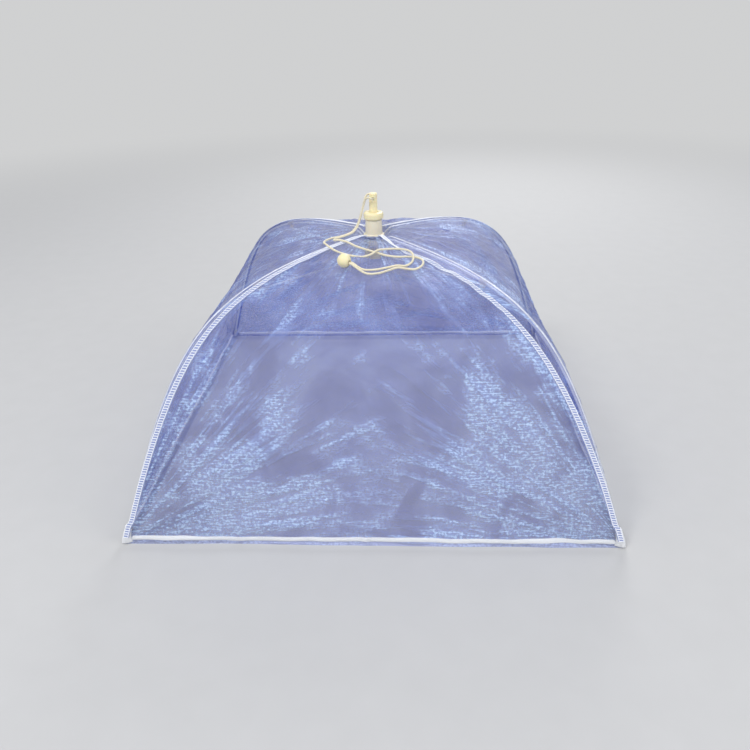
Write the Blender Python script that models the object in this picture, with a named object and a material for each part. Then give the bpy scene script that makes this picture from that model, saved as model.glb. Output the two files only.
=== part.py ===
"""Square pop-up mesh food cover: an umbrella of four bent wire ribs under a sewn mesh canopy.

It opens when the cord lifts the plunger through the collar: the stretchers on the plunger's
runner push the ribs up and out. Metres, +Z up. The cover stands on z = 0 with its post on the
Z axis, and its front panel faces -Y. Each rib lies in an upright plane through the Z axis.
"""

import math

import bmesh
import bpy
from mathutils import Matrix, Vector

MM = 0.001

# Whole cover
SIDE = 400 * MM  # hem, from corner to corner
GAP = 0.3 * MM  # between pieces that touch
OVERRUN = 2 * MM  # how far a cutter runs past what it cuts
CORNERS = ("front_left", "front_right", "back_right", "back_left")
SIDES = ("front", "right", "back", "left")
FIRST_CORNER = math.radians(225)  # direction of the front left corner
QUARTER = math.pi / 2

# Ribs: spring wire, an eye on the ring at one end and a dipped cap at the other
RIB_R = 1.0 * MM
EYE_FROM_AXIS = 7.6 * MM  # the ring's radius, where the ribs hinge
EYE_HEIGHT = 188.6 * MM
EYE_R = 1.7 * MM
EYE_HALF_THICK = 0.8 * MM
SHOULDER_FROM_AXIS = 26 * MM  # the rib rises out of its slot up to here
SHOULDER_RISE = 5.8 * MM  # above the eye
SLOT_PULL = 11 * MM  # Bezier handles of the rise and of the long bow
SHOULDER_PULL = 8 * MM
TOP_PULL = 168 * MM
FOOT_PULL = 164 * MM
TOP_SLOPE = math.radians(2.8)
FOOT_SLOPE = math.radians(65.7)
RIB_END_HEIGHT = 2.5 * MM
RISE_STEPS = 6
BOW_STEPS = 17
ROD_SIDES = 8

# Tip caps and the clips that hold the stretchers: sleeves round the rib
SLEEVE_WALL = 0.5 * MM
SLEEVE_PLAY = 0.25 * MM
SLEEVE_SIDES = 12
TIP_CAP_LENGTH = 9 * MM
TIP_CAP_FLOOR = 1.2 * MM
CLIP_FROM_AXIS = 130 * MM
CLIP_LENGTH = 8 * MM
EAR_DROP = 4.2 * MM  # from the rib's middle to the stretcher's peg
EAR_R = 2.1 * MM
EAR_HALF_THICK = 0.7 * MM

# Stretchers: thin wire whose two ends are bent into pegs
STRETCHER_R = 0.75 * MM
PEG_PLAY = 0.25 * MM
PEG_PAST_EAR = 0.7 * MM
PEG_BEND_R = 1.0 * MM

# Ring that the ribs hang on
RING_R = 0.55 * MM
RING_PLAY = 0.3 * MM
RING_SIDES = 6

# Plunger: post, stop shoulder, runner stem and snap foot in one moulding.
# Its heights follow from the collar above and the hub's stack of parts below.
POST_ABOVE_COLLAR = 16.8 * MM
POST_R = 3.7 * MM
POST_CHAMFER = 0.6 * MM
CORD_HOLE_R = 1.3 * MM
CORD_HOLE_BELOW_TOP = 4.5 * MM
STOP_R = 5.2 * MM
STOP_LENGTH = 2.9 * MM
STEM_R = 3.0 * MM
FOOT_R = 4.0 * MM
FOOT_LENGTH = 1.2 * MM
POST_PLAY = 0.25 * MM

# Runner: notched disc on the stem, with a seat for each stretcher's peg
PEG_FROM_AXIS = 6.6 * MM
PEG_HALF_SPAN = 2.0 * MM
RUNNER_R = 9.2 * MM
RUNNER_BELOW_PEG = 3.0 * MM
RUNNER_ROOF = 1.6 * MM
SEAT_PLAY = 0.35 * MM
SEAT_LEAD_IN = 1.1 * MM  # extra room on the axis side, for the peg's way out
SLOT_DEEPER = 0.2 * MM  # the wire's slot runs this much nearer the axis than the seat

# Collar above the cloth with its rounded rim cap, and the notched rib hub and its cap below it
COLLAR_ABOVE_EYE = 27.4 * MM
RIM_R = 9.0 * MM
RIM_HEIGHT = 6.8 * MM
RIM_ROUND = 2.0 * MM
RIM_LID = 1.3 * MM
NECK_R = 7.85 * MM
NECK_TAPER = 0.35 * MM
NECK_TOP_R = 5.6 * MM  # the neck's upper end, inside the rim cap
FLANGE_R = 9.7 * MM
FLANGE_THICK = 1.6 * MM
FLANGE_CONE = 1.5 * MM  # its underside rises this much towards its edge
SPIGOT_R = 5.0 * MM
SNAP_LIP = 0.7 * MM  # the spigot's lip that holds the hub's cap on
HUB_R = 9.7 * MM
HUB_ROOF = 0.8 * MM
HUB_BELOW_EYE = 2.8 * MM
NOTCH_PLAY = 0.35 * MM
CAP_R = 9.1 * MM
CAP_THICK = 1.0 * MM
ROUND_STEPS = 28

# Canopy of four mesh panels
CLOTH = 0.5 * MM
CLOTH_SAG = 3.5 * MM  # how far a panel sinks between two ribs
PANEL_COLUMNS = 8
SEAM_NEAR = 3.5 * MM  # least distance of a seam from its rib
SEAM_DRIFTS = (4.5 * MM, 25 * MM, 4 * MM, 4 * MM)  # how far each seam strays besides
SEAM_WIDTH = 4.2 * MM
SEAM_THICK = 0.6 * MM
SEAM_START = 22 * MM
DRIFT_SHARE = 0.5  # below 1 it puts the widest stray above the middle of the seam
DRIFT_FALL_SHARE = 1.6
SEAM_LIMIT_SHARE = 0.55  # near the hub a seam stays within this share of the half panel
SEAM_COLUMN_SHARES = (-0.5, -0.25, 0, 0.25, 0.5)
SEAM_ROW_SHARE = 0.02
STATION_STEP_SHARE = 0.01

# Hem ribbon and the folded tape pockets at the corners
HEM_ABOVE_EDGE = 3.4 * MM
HEM_WIDTH = 3.2 * MM
HEM_THICK = 0.6 * MM
POCKET_HEIGHT = 16 * MM
POCKET_ARM = 9 * MM
POCKET_THICK = 0.8 * MM

# Pull cord: two strands from the post's cross hole to a bead, lying loose on the canopy.
# Places are (x, y, height) in the air and (x, y, lift above lying flat) on the cloth.
CORD_R = 0.9 * MM
CORD_STEP = 5.0 * MM
CORD_SIDE_BY_SIDE = 2.2 * MM
CORD_STRAIGHT = 2.2 * MM  # square to the bead's mouth
BEAD_R = 5.8 * MM
BEAD_MOUTH = 5.2 * MM  # its flat ends, from its middle
BEAD_BORE_R = 1.5 * MM
BEAD_PLAY = 0.5 * MM  # above the cloth, measured straight down
BEAD_SIDES = 20
BEAD_STEPS = 10
CORD_FINE = 12
BEAD_PLACE = (-22.0, -74.6)
BEAD_AIM = (1.0, -0.55, -0.22)
FAR_FALL = (
    (-0.5, 5.9, 228.7), (-2.2, 7.0, 229.8), (-4.7, 6.2, 230.4), (-6.8, 4.3, 229.0), (-8.2, 2.3, 225.4),
    (-9.4, 0.9, 221.0), (-11.0, 0.2, 215.6), (-12.6, -0.3, 210.0), (-14.8, -1.9, 204.4),
)
FAR_LIE = (
    (-19.0, -7.0, 0.6), (-24.5, -13.2, 0), (-30.5, -17.6, 0), (-37.0, -19.0, 0), (-42.0, -23.6, 0),
    (-43.0, -32.0, 0.5), (-40.5, -40.5, 1.2), (-35.8, -47.5, 1.2), (-28.5, -53.2, 0.4), (-18.5, -57.8, 0),
    (-8.0, -60.2, 0), (-0.5, -58.0, 0.9), (5.2, -53.6, 2.2), (12.0, -49.6, 1.0), (20.5, -47.6, 0.2),
    (28.0, -50.6, 0.8), (33.2, -57.0, 2.0), (35.4, -64.2, 2.2), (34.4, -70.6, 0.9), (29.2, -74.6, 0),
    (22.0, -74.0, 0), (13.5, -76.6, 0), (3.5, -79.2, 0), (-6.5, -79.4, 0.6),
)
NEAR_FALL = (
    (-0.5, -5.9, 228.6), (-2.4, -6.9, 229.6), (-4.8, -6.0, 229.9), (-6.8, -4.4, 228.0), (-8.1, -3.0, 224.4),
    (-9.5, -2.2, 219.6), (-10.9, -2.0, 214.6), (-12.4, -2.6, 209.4), (-14.4, -4.5, 204.0),
)
NEAR_LIE = (
    (-18.0, -9.4, 1.0), (-22.6, -15.4, 0.5), (-28.6, -20.0, 0.2), (-33.6, -23.6, 0.2), (-34.2, -28.6, 0.5),
    (-29.4, -31.8, 1.2), (-22.8, -35.2, 1.2), (-14.5, -41.6, 0.3), (-4.5, -48.0, 0), (4.8, -53.8, 0),
    (13.0, -58.6, 0), (22.6, -61.2, 0), (32.5, -61.4, 0), (40.0, -64.4, 0.3), (43.6, -70.4, 0.8),
    (42.2, -76.4, 0.6), (36.6, -79.6, 0), (29.4, -78.6, 0), (22.6, -77.0, 0), (14.6, -80.2, 0),
    (6.0, -83.8, 0), (-3.5, -84.4, 0.6),
)

# Worked out from the sizes above
SLEEVE_BORE_R = RIB_R + SLEEVE_PLAY
SLEEVE_R = SLEEVE_BORE_R + SLEEVE_WALL
SHOULDER_HEIGHT = EYE_HEIGHT + SHOULDER_RISE
CLOTH_CLEAR = SLEEVE_R + GAP  # from the ribs' middle lines to the cloth
RIB_END = SIDE / math.sqrt(2) - CLOTH_CLEAR * math.sqrt(2) - RIB_END_HEIGHT / math.tan(FOOT_SLOPE)
ROD_BESIDE = EAR_HALF_THICK + PEG_PLAY + GAP + STRETCHER_R  # the wire runs beside the ear
HUB_TOP = EYE_HEIGHT + EYE_R + GAP + HUB_ROOF
HUB_BOTTOM = EYE_HEIGHT - HUB_BELOW_EYE
CAP_TOP = HUB_BOTTOM - GAP
CAP_BOTTOM = CAP_TOP - CAP_THICK
SPIGOT_END = CAP_BOTTOM - GAP - CAP_THICK
STOP_TOP = SPIGOT_END - GAP
STOP_LOW = STOP_TOP - STOP_LENGTH
RUNNER_TOP = STOP_LOW - GAP
SEAT_ROOF = RUNNER_TOP - RUNNER_ROOF
PEG_HEIGHT = SEAT_ROOF - SEAT_PLAY - STRETCHER_R
COLLAR_TOP = EYE_HEIGHT + COLLAR_ABOVE_EYE
POST_TOP = COLLAR_TOP + POST_ABOVE_COLLAR
CLAMPED = CLOTH * math.sqrt(2)  # the cloth's depth where the collar clamps it
HOLE_LIFT = HUB_TOP + GAP - EYE_HEIGHT - CLOTH_CLEAR * math.sqrt(2)  # up to the hub's top
BORE_R = POST_R + POST_PLAY
RIM_LOW = COLLAR_TOP - RIM_HEIGHT
CORD_HOLE_HEIGHT = POST_TOP - CORD_HOLE_BELOW_TOP
EYE = Vector((EYE_FROM_AXIS, 0, EYE_HEIGHT))
TANGENT = Vector((0, 1, 0))  # square to a corner's plane, before it is turned to its corner
SMOOTH_BELOW = math.radians(35)
FLAT_BELOW = math.radians(50)


def clear_scene():
    for old in list(bpy.data.objects):
        bpy.data.objects.remove(old, do_unlink=True)


def finish(name, color, roughness, metallic=0.0, alpha=1.0):
    made = bpy.data.materials.new(name)
    made.use_nodes = True
    shader = made.node_tree.nodes["Principled BSDF"]
    shader.inputs["Base Color"].default_value = (*color, 1.0)
    shader.inputs["Roughness"].default_value = roughness
    shader.inputs["Metallic"].default_value = metallic
    shader.inputs["Alpha"].default_value = alpha
    return made


def add(name, mesh, material=None, place=None):
    made = bpy.data.objects.new(name, mesh)
    bpy.context.scene.collection.objects.link(made)
    if material:
        mesh.materials.clear()
        mesh.materials.append(material)
    if place:
        made.matrix_world = place
    return made


def mesh_from(name, corners, faces, smooth_below=None):
    mesh = bpy.data.meshes.new(name)
    mesh.from_pydata([tuple(c) for c in corners], [], faces)
    shape = bmesh.new()
    shape.from_mesh(mesh)
    bmesh.ops.recalc_face_normals(shape, faces=shape.faces)
    shape.to_mesh(mesh)
    shape.free()
    if smooth_below:
        mesh.shade_smooth()
        mesh.set_sharp_from_angle(angle=smooth_below)
    return mesh


def turned(name, outline, sides=ROUND_STEPS):
    """A solid of revolution round Z from a closed outline of (radius, height)."""
    corners, faces, rings = [], [], []
    for radius, height in outline:
        if radius == 0:
            rings.append([len(corners)])
            corners.append((0, 0, height))
            continue
        rings.append(list(range(len(corners), len(corners) + sides)))
        for step in range(sides):
            turn = math.tau * step / sides
            corners.append((radius * math.cos(turn), radius * math.sin(turn), height))
    for ring, after in zip(rings, rings[1:] + rings[:1]):
        if len(ring) == len(after) == 1:
            continue
        for step in range(sides):
            near, far = step, (step + 1) % sides
            loop = [ring[near % len(ring)], ring[far % len(ring)]]
            loop += [after[far % len(after)], after[near % len(after)]]
            faces.append(list(dict.fromkeys(loop)))
    return mesh_from(name, corners, faces, SMOOTH_BELOW)


def rod(name, points, radius, sides=ROD_SIDES):
    """A round bar with closed ends along points that lie in one plane."""
    points = [Vector(p) for p in points]
    side = Vector()
    for before, here, after in zip(points, points[1:], points[2:]):
        turn = (here - before).cross(after - here)
        side = turn if turn.length > side.length else side
    side = side.normalized() if side.length else (points[1] - points[0]).orthogonal().normalized()
    corners, faces = [], []
    for number, point in enumerate(points):
        before = points[max(number - 1, 0)]
        after = points[min(number + 1, len(points) - 1)]
        into, out = (point - before).normalized(), (after - point).normalized()
        along = (into + out).normalized()
        width = radius / max(along.dot(out if out.length else into), math.cos(QUARTER / 2))
        across = side.cross(along)
        for step in range(sides):
            turn = math.tau * (step + 0.5) / sides
            corners.append(point + side * radius * math.cos(turn) + across * width * math.sin(turn))
    for ring in range(len(points) - 1):
        for step in range(sides):
            a, b = ring * sides + step, ring * sides + (step + 1) % sides
            faces.append([a, b, b + sides, a + sides])
    faces.append(list(range(sides)))
    faces.append(list(range(len(corners) - sides, len(corners))))
    return mesh_from(name, corners, faces, FLAT_BELOW)


def drum(name, center, axis, radius, half_length, sides=16):
    """A plain cylinder, for an eye, an ear, a hole or a sleeve."""
    axis = Vector(axis).normalized()
    ends = [Vector(center) - axis * half_length, Vector(center) + axis * half_length]
    return rod(name, ends, radius, sides)


def block(name, low, high):
    corners = [(x, y, z) for x in (low[0], high[0]) for y in (low[1], high[1]) for z in (low[2], high[2])]
    faces = [[0, 1, 3, 2], [4, 6, 7, 5], [0, 4, 5, 1], [2, 3, 7, 6], [0, 2, 6, 4], [1, 5, 7, 3]]
    return mesh_from(name, corners, faces)


def combined(name, base, steps):
    """The mesh left when each (operation, mesh, place) of steps is worked on base in turn."""
    body = add(name + "_body", base)
    helpers = []
    for number, (operation, mesh, place) in enumerate(steps):
        helper = add(f"{name}_helper_{number}", mesh, place=place)
        helper.hide_render = True
        helper.display_type = "WIRE"
        helpers.append(helper)
        change = body.modifiers.new(helper.name, "BOOLEAN")
        change.operation = operation
        change.object = helper
    graph = bpy.context.evaluated_depsgraph_get()
    result = bpy.data.meshes.new_from_object(body.evaluated_get(graph))
    result.name = name
    for done in [body] + helpers:
        bpy.data.objects.remove(done, do_unlink=True)
    result.shade_smooth()
    result.set_sharp_from_angle(angle=SMOOTH_BELOW)
    return result


def corner_turn(corner):
    """Turns the XZ plane into the upright plane of a corner."""
    return Matrix.Rotation(FIRST_CORNER + corner * QUARTER, 4, "Z")


def bezier(handles, share):
    """(point, unit direction) on a cubic Bezier in a rib's plane."""
    a, b, c, d = handles
    rest = 1 - share
    point = rest**3 * a + 3 * rest**2 * share * b + 3 * rest * share**2 * c + share**3 * d
    along = rest**2 * (b - a) + 2 * rest * share * (c - b) + share**2 * (d - c)
    return point, along.normalized()


def rib_point(station):
    """(point, direction) on a rib's middle line: 0 to 1 is the rise, 1 to 2 the bow, past 2 straight on."""
    eye = Vector((EYE_FROM_AXIS, EYE_HEIGHT))
    shoulder = Vector((SHOULDER_FROM_AXIS, SHOULDER_HEIGHT))
    end = Vector((RIB_END, RIB_END_HEIGHT))
    level = Vector((1, 0))
    top = Vector((math.cos(TOP_SLOPE), -math.sin(TOP_SLOPE)))
    foot = Vector((math.cos(FOOT_SLOPE), -math.sin(FOOT_SLOPE)))
    if station <= 1:
        rise = (eye, eye + level * SLOT_PULL, shoulder - top * SHOULDER_PULL, shoulder)
        return bezier(rise, station)
    if station <= 2:
        bow = (shoulder, shoulder + top * TOP_PULL, end - foot * FOOT_PULL, end)
        return bezier(bow, station - 1)
    return end + foot * (station - 2) * FOOT_PULL, foot


def cloth_point(station, out):
    """(radius, height) of the fold in the cloth over a rib, out from the cloth's inner face."""
    point, along = rib_point(station)
    normal = Vector((-along.y, along.x))
    lift = HOLE_LIFT * max(0, 1 - station)
    return point + normal * (CLOTH_CLEAR + out) * math.sqrt(2) + Vector((0, lift))


def station_where(test, low, high):
    """The station between low and high at which test turns true."""
    for _ in range(50):
        middle = (low + high) / 2
        low, high = (low, middle) if test(middle) else (middle, high)
    return (low + high) / 2


def station_at_height(height, out):
    return station_where(lambda s: cloth_point(s, out).y <= height, 1.2, 3)


def station_at_radius(radius, out):
    return station_where(lambda s: cloth_point(s, out).x >= radius, 0, 3)


def rows_of(count):
    """Stations of a panel's rows, from the hole at the collar down to just above the hem."""
    rise = [number / RISE_STEPS for number in range(RISE_STEPS)]
    return rise + [1 + number / count for number in range(count + 1)]


def seam_at(corner, station):
    """How far a seam lies from its rib: it strays most a quarter of the way down."""
    share = min(station / 2, 1)
    stray = math.sin(math.pi * share**DRIFT_SHARE) ** DRIFT_FALL_SHARE if 0 < share < 1 else 0
    toward = 1 if corner % 2 == 0 else -1
    limit = side_length(station, 0) / 2 * SEAM_LIMIT_SHARE
    return toward * min(SEAM_NEAR + SEAM_DRIFTS[corner % 4] * stray, limit)


def side_length(station, out):
    """From one fold to the next across a panel."""
    return cloth_point(station, out).x * math.sqrt(2)


def on_cloth(station, corner, beside, out):
    """A point on the canopy, beside a corner's fold: positive goes towards the next corner."""
    whole = side_length(station, out)
    if beside < 0:
        return on_cloth(station, corner - 1, whole + beside, out)
    if beside > whole:
        return on_cloth(station, corner + 1, beside - whole, out)
    fold = cloth_point(station, out)
    before = cloth_point(station - STATION_STEP_SHARE, out)
    after = cloth_point(station + STATION_STEP_SHARE, out)
    half = whole / 2
    share = beside / whole
    slope = Vector((-(after - before).y, (after - before).x / math.sqrt(2))).normalized()
    sag = CLOTH_SAG * 4 * share * (1 - share) * math.sin(math.pi * min(max(station - 1, 0), 1))
    across, outward, height = 2 * half * share - half, half - sag * slope.x, fold.y - sag * slope.y
    point = Vector((across, -outward, height))
    return Matrix.Rotation(QUARTER * corner, 3, "Z") @ point


def cloth_slab(name, number, rows, columns, low, high, material):
    """A closed sheet on the canopy from low to high above its inner face.

    rows gives each row's station for a height above the inner face; columns(station, out)
    lists how far along the hem line from the slab's own corner the row's points lie.
    """
    corners, faces = [], []
    lines = len(rows)
    width = len(columns(rows[0](low), low))
    for out in (low, high):
        for row in rows:
            station = row(out)
            corners += [on_cloth(station, number, place, out) for place in columns(station, out)]

    def at(layer, line, place):
        return layer * lines * width + line * width + place

    for line in range(lines - 1):
        for place in range(width - 1):
            for layer in (0, 1):
                a, b = at(layer, line, place), at(layer, line, place + 1)
                faces.append([a, b, b + width, a + width])
    edge = [(0, place) for place in range(width)]
    edge += [(line, width - 1) for line in range(1, lines)]
    edge += [(lines - 1, place) for place in range(width - 2, -1, -1)]
    edge += [(line, 0) for line in range(lines - 2, 0, -1)]
    for here, after in zip(edge, edge[1:] + edge[:1]):
        faces.append([at(0, *here), at(0, *after), at(1, *after), at(1, *here)])
    return add(name, mesh_from(name, corners, faces, FLAT_BELOW), material)


def fixed_row(station):
    return lambda out: station


def level_row(height):
    return lambda out: station_at_height(height, out)


def radius_row(radius):
    return lambda out: station_at_radius(radius, out)


def panels(material):
    """Four gores. The front and back ones end short of the ribs, the side ones wrap round them."""
    rows = [fixed_row(station) for station in rows_of(BOW_STEPS)] + [level_row(0)]
    for number, side in enumerate(SIDES):

        def columns(station, out, number=number):
            whole = side_length(station, out)
            first = seam_at(number, station) + GAP / 2
            last = whole + seam_at(number + 1, station) - GAP / 2
            if number % 2 == 0:
                return [first + (last - first) * n / PANEL_COLUMNS for n in range(PANEL_COLUMNS + 1)]
            return [first] + [whole * n / PANEL_COLUMNS for n in range(PANEL_COLUMNS + 1)] + [last]

        cloth_slab("mesh_" + side, number, rows, columns, 0, CLOTH, material)


def seam_bands(material):
    """Overlocked seam allowances, folded flat outside the cloth over each seam."""
    top = station_at_radius(SEAM_START, CLOTH)
    bottom = POCKET_HEIGHT + GAP
    inner = [station for station in rows_of(BOW_STEPS) if station > top]
    for number, corner in enumerate(CORNERS):
        low, high = CLOTH + GAP, CLOTH + GAP + SEAM_THICK
        last = station_at_height(bottom, high)
        rows = [radius_row(SEAM_START)] + [fixed_row(s) for s in inner if s < last - SEAM_ROW_SHARE]
        rows.append(level_row(bottom))

        def columns(station, out, number=number):
            middle = seam_at(number, station)
            places = [middle + SEAM_WIDTH * share for share in SEAM_COLUMN_SHARES]
            return [0 if abs(place) < SEAM_WIDTH / 8 else place for place in places]

        cloth_slab("seam_" + corner, number, rows, columns, low, high, material)


def hem_ribbons(material):
    low, high = CLOTH + GAP, CLOTH + GAP + HEM_THICK
    rows = [level_row(HEM_ABOVE_EDGE + HEM_WIDTH), level_row(HEM_ABOVE_EDGE)]
    for number, side in enumerate(SIDES):

        def columns(station, out):
            first = POCKET_ARM + GAP
            span = side_length(station, out) - 2 * first
            return [first + span * n / PANEL_COLUMNS for n in range(PANEL_COLUMNS + 1)]

        cloth_slab("hem_" + side, number, rows, columns, low, high, material)


def corner_pockets(material):
    low, high = CLOTH + GAP, CLOTH + GAP + POCKET_THICK
    rows = [level_row(POCKET_HEIGHT), level_row(POCKET_HEIGHT / 2), level_row(0)]
    for number, corner in enumerate(CORNERS):

        def columns(station, out):
            return [-POCKET_ARM, 0, POCKET_ARM]

        cloth_slab("corner_pocket_" + corner, number, rows, columns, low, high, material)


def in_plane(point):
    return Vector((point.x, 0, point.y))


def eye_place(corner):
    """Where a rib's own frame stands: its origin on the hinge axis, X outwards."""
    return corner_turn(corner) @ Matrix.Translation((EYE_FROM_AXIS, 0, EYE_HEIGHT))


def station_short_of_end(length):
    """The station that is length before the rib's end, along its nearly straight foot."""
    end = rib_point(2)[0]
    return station_where(lambda s: (end - rib_point(s)[0]).length <= length, 1, 2)


CAP_START = station_short_of_end(TIP_CAP_LENGTH)
WIRE_END = station_short_of_end(TIP_CAP_FLOOR + GAP)


def rib_wire():
    """The bent wire with its eye, in the frame of eye_place."""
    stations = sorted(s for s in rows_of(BOW_STEPS)[1:-1] + [CAP_START] if s <= CAP_START)
    points = [Vector((EYE_R / 2, 0, 0))]
    points += [in_plane(rib_point(station)[0]) - EYE for station in stations + [WIRE_END]]
    eye = drum("eye", (0, 0, 0), TANGENT, EYE_R, EYE_HALF_THICK)
    hole = drum("eye_hole", (0, 0, 0), TANGENT, RING_R + RING_PLAY, RIB_R + OVERRUN)
    return combined("rib", rod("rib_wire", points, RIB_R), [("UNION", eye, None), ("DIFFERENCE", hole, None)])


def tip_cap():
    """A dipped sleeve, closed at the foot, over the last of the wire."""
    foot, along = rib_point(2)
    end, along = in_plane(foot) - EYE, in_plane(along)
    body = rod("cap_body", [end - along * TIP_CAP_LENGTH, end], SLEEVE_R, SLEEVE_SIDES)
    mouth = end - along * (TIP_CAP_LENGTH + OVERRUN)
    bore = rod("cap_bore", [mouth, end - along * TIP_CAP_FLOOR], SLEEVE_BORE_R, SLEEVE_SIDES)
    return combined("rib_tip", body, [("DIFFERENCE", bore, None)])


def stretcher_clip():
    """A sleeve crimped on the rib, with a web and a drilled ear hanging from it."""
    _, seat, along = clip_seat()
    middle, along = in_plane(seat) - EYE, in_plane(along)
    pivot = in_plane(outer_pivot()) - EYE
    down = (pivot - middle).normalized()
    sleeve = drum("sleeve", middle, along, SLEEVE_R, CLIP_LENGTH / 2, SLEEVE_SIDES)
    top_half = CLIP_LENGTH / 4
    web = [
        middle - along * top_half + down * RIB_R,
        middle + along * top_half + down * RIB_R,
        pivot + along * EAR_R,
        pivot - along * EAR_R,
    ]
    corners = [point + TANGENT * EAR_HALF_THICK * side for side in (-1, 1) for point in web]
    faces = [[0, 1, 2, 3], [7, 6, 5, 4]] + [[n, (n + 1) % 4, (n + 1) % 4 + 4, n + 4] for n in range(4)]
    bore_half = CLIP_LENGTH / 2 + OVERRUN
    peg_hole_r = STRETCHER_R + PEG_PLAY
    steps = [
        ("UNION", mesh_from("web", corners, faces), None),
        ("UNION", drum("ear", pivot, TANGENT, EAR_R, EAR_HALF_THICK), None),
        ("DIFFERENCE", drum("clip_bore", middle, along, SLEEVE_BORE_R, bore_half, SLEEVE_SIDES), None),
        ("DIFFERENCE", drum("peg_hole", pivot, TANGENT, peg_hole_r, EAR_R + OVERRUN, SLEEVE_SIDES), None),
    ]
    return combined("rib_clip", sleeve, steps)


def ribs(wire, plastic):
    """Wire, dipped tip cap and stretcher clip, the same for every corner."""
    rib, cap, clip = rib_wire(), tip_cap(), stretcher_clip()
    for number, corner in enumerate(CORNERS):
        add("rib_" + corner, rib, wire, eye_place(number))
        add("rib_tip_" + corner, cap, plastic, eye_place(number))
        add("rib_clip_" + corner, clip, plastic, eye_place(number))


def clip_seat():
    """(station, point, direction) on the rib's middle line where the clip is crimped."""
    station = station_where(lambda s: rib_point(s)[0].x >= CLIP_FROM_AXIS, 1, 2)
    return station, *rib_point(station)


def outer_pivot():
    """(radius, height) of a stretcher's outer peg, in the clip's ear under the rib."""
    _, point, along = clip_seat()
    return point - Vector((-along.y, along.x)) * EAR_DROP


def stretchers(wire):
    pivot = outer_pivot()
    reach = Vector((PEG_FROM_AXIS, PEG_HEIGHT)) - pivot
    inner = Vector((reach.x, 0, reach.y))
    along = inner.normalized()
    beside = Vector((0, ROD_BESIDE, 0))
    outer_end = Vector((0, -EAR_HALF_THICK - PEG_PAST_EAR, 0))
    inner_end = inner - Vector((0, PEG_HALF_SPAN, 0))
    points = [outer_end] + peg_bend(beside, outer_end, inner + beside)
    points += peg_bend(inner + beside, beside, inner_end) + [inner_end]
    mesh = rod("stretcher", points, STRETCHER_R)
    for number, corner in enumerate(CORNERS):
        place = corner_turn(number) @ Matrix.Translation((pivot.x, 0, pivot.y))
        add("stretcher_" + corner, mesh, wire, place)


def peg_bend(corner, before, after):
    """The arc that rounds the right-angled corner between two points."""
    into, out = (corner - before).normalized(), (after - corner).normalized()
    arc = []
    for step in range(4):
        turn = QUARTER * step / 3
        inward = 1 - math.sin(turn), 1 - math.cos(turn)
        arc.append(corner - into * PEG_BEND_R * inward[0] + out * PEG_BEND_R * inward[1])
    return arc


def notches(low, high, inner, outer, span, offset=0.0):
    """Four radial slots as (operation, mesh, place), one for each corner."""
    slot = block("notch", (inner, offset - span / 2, low), (outer, offset + span / 2, high))
    return [("DIFFERENCE", slot.copy(), corner_turn(number)) for number in range(4)]


def quarter_round(radius, height, rounding, upward):
    """Points of a rounded edge on the outside of a turned piece, upward in one direction or the other."""
    arc = []
    for step in range(4):
        turn = QUARTER * step / 3
        if upward:
            arc.append((radius - rounding * (1 - math.sin(turn)), height + rounding * (1 - math.cos(turn))))
        else:
            arc.append((radius - rounding * (1 - math.cos(turn)), height - rounding * (1 - math.sin(turn))))
    return arc


def collar(clear, ivory):
    """The spool that the plunger runs in, down through the cloth and the hub, and its rim cap."""
    underside = HUB_TOP + GAP + CLAMPED + GAP
    flange_top = underside + FLANGE_CONE + FLANGE_THICK
    ease = FLANGE_THICK / 3
    lip_r = SPIGOT_R + SNAP_LIP
    neck_end = COLLAR_TOP - RIM_LID - GAP
    spool = [
        (BORE_R, SPIGOT_END),
        (SPIGOT_R, SPIGOT_END),
        (lip_r, SPIGOT_END + CAP_THICK / 2),
        (lip_r, CAP_BOTTOM - GAP),
        (SPIGOT_R, CAP_BOTTOM - GAP),
        (SPIGOT_R, underside),
        (FLANGE_R, underside + FLANGE_CONE),
        (FLANGE_R, flange_top - ease),
        (FLANGE_R - ease, flange_top),
        (NECK_R + ease, flange_top),
        (NECK_R, flange_top + ease),
        (NECK_R - NECK_TAPER, RIM_LOW - GAP),
        (NECK_TOP_R, RIM_LOW - GAP),
        (NECK_TOP_R, neck_end),
        (BORE_R, neck_end),
    ]
    add("collar", turned("collar", spool), clear)
    seat_r = NECK_TOP_R + GAP
    rim = [(seat_r, RIM_LOW)]
    rim += quarter_round(RIM_R, RIM_LOW, RIM_ROUND, True)
    rim += quarter_round(RIM_R, COLLAR_TOP, RIM_ROUND, False)
    rim += [
        (BORE_R + POST_CHAMFER, COLLAR_TOP),
        (BORE_R, COLLAR_TOP - POST_CHAMFER),
        (BORE_R, COLLAR_TOP - RIM_LID),
        (seat_r, COLLAR_TOP - RIM_LID),
    ]
    add("collar_rim", turned("collar_rim", rim), ivory)


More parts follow.
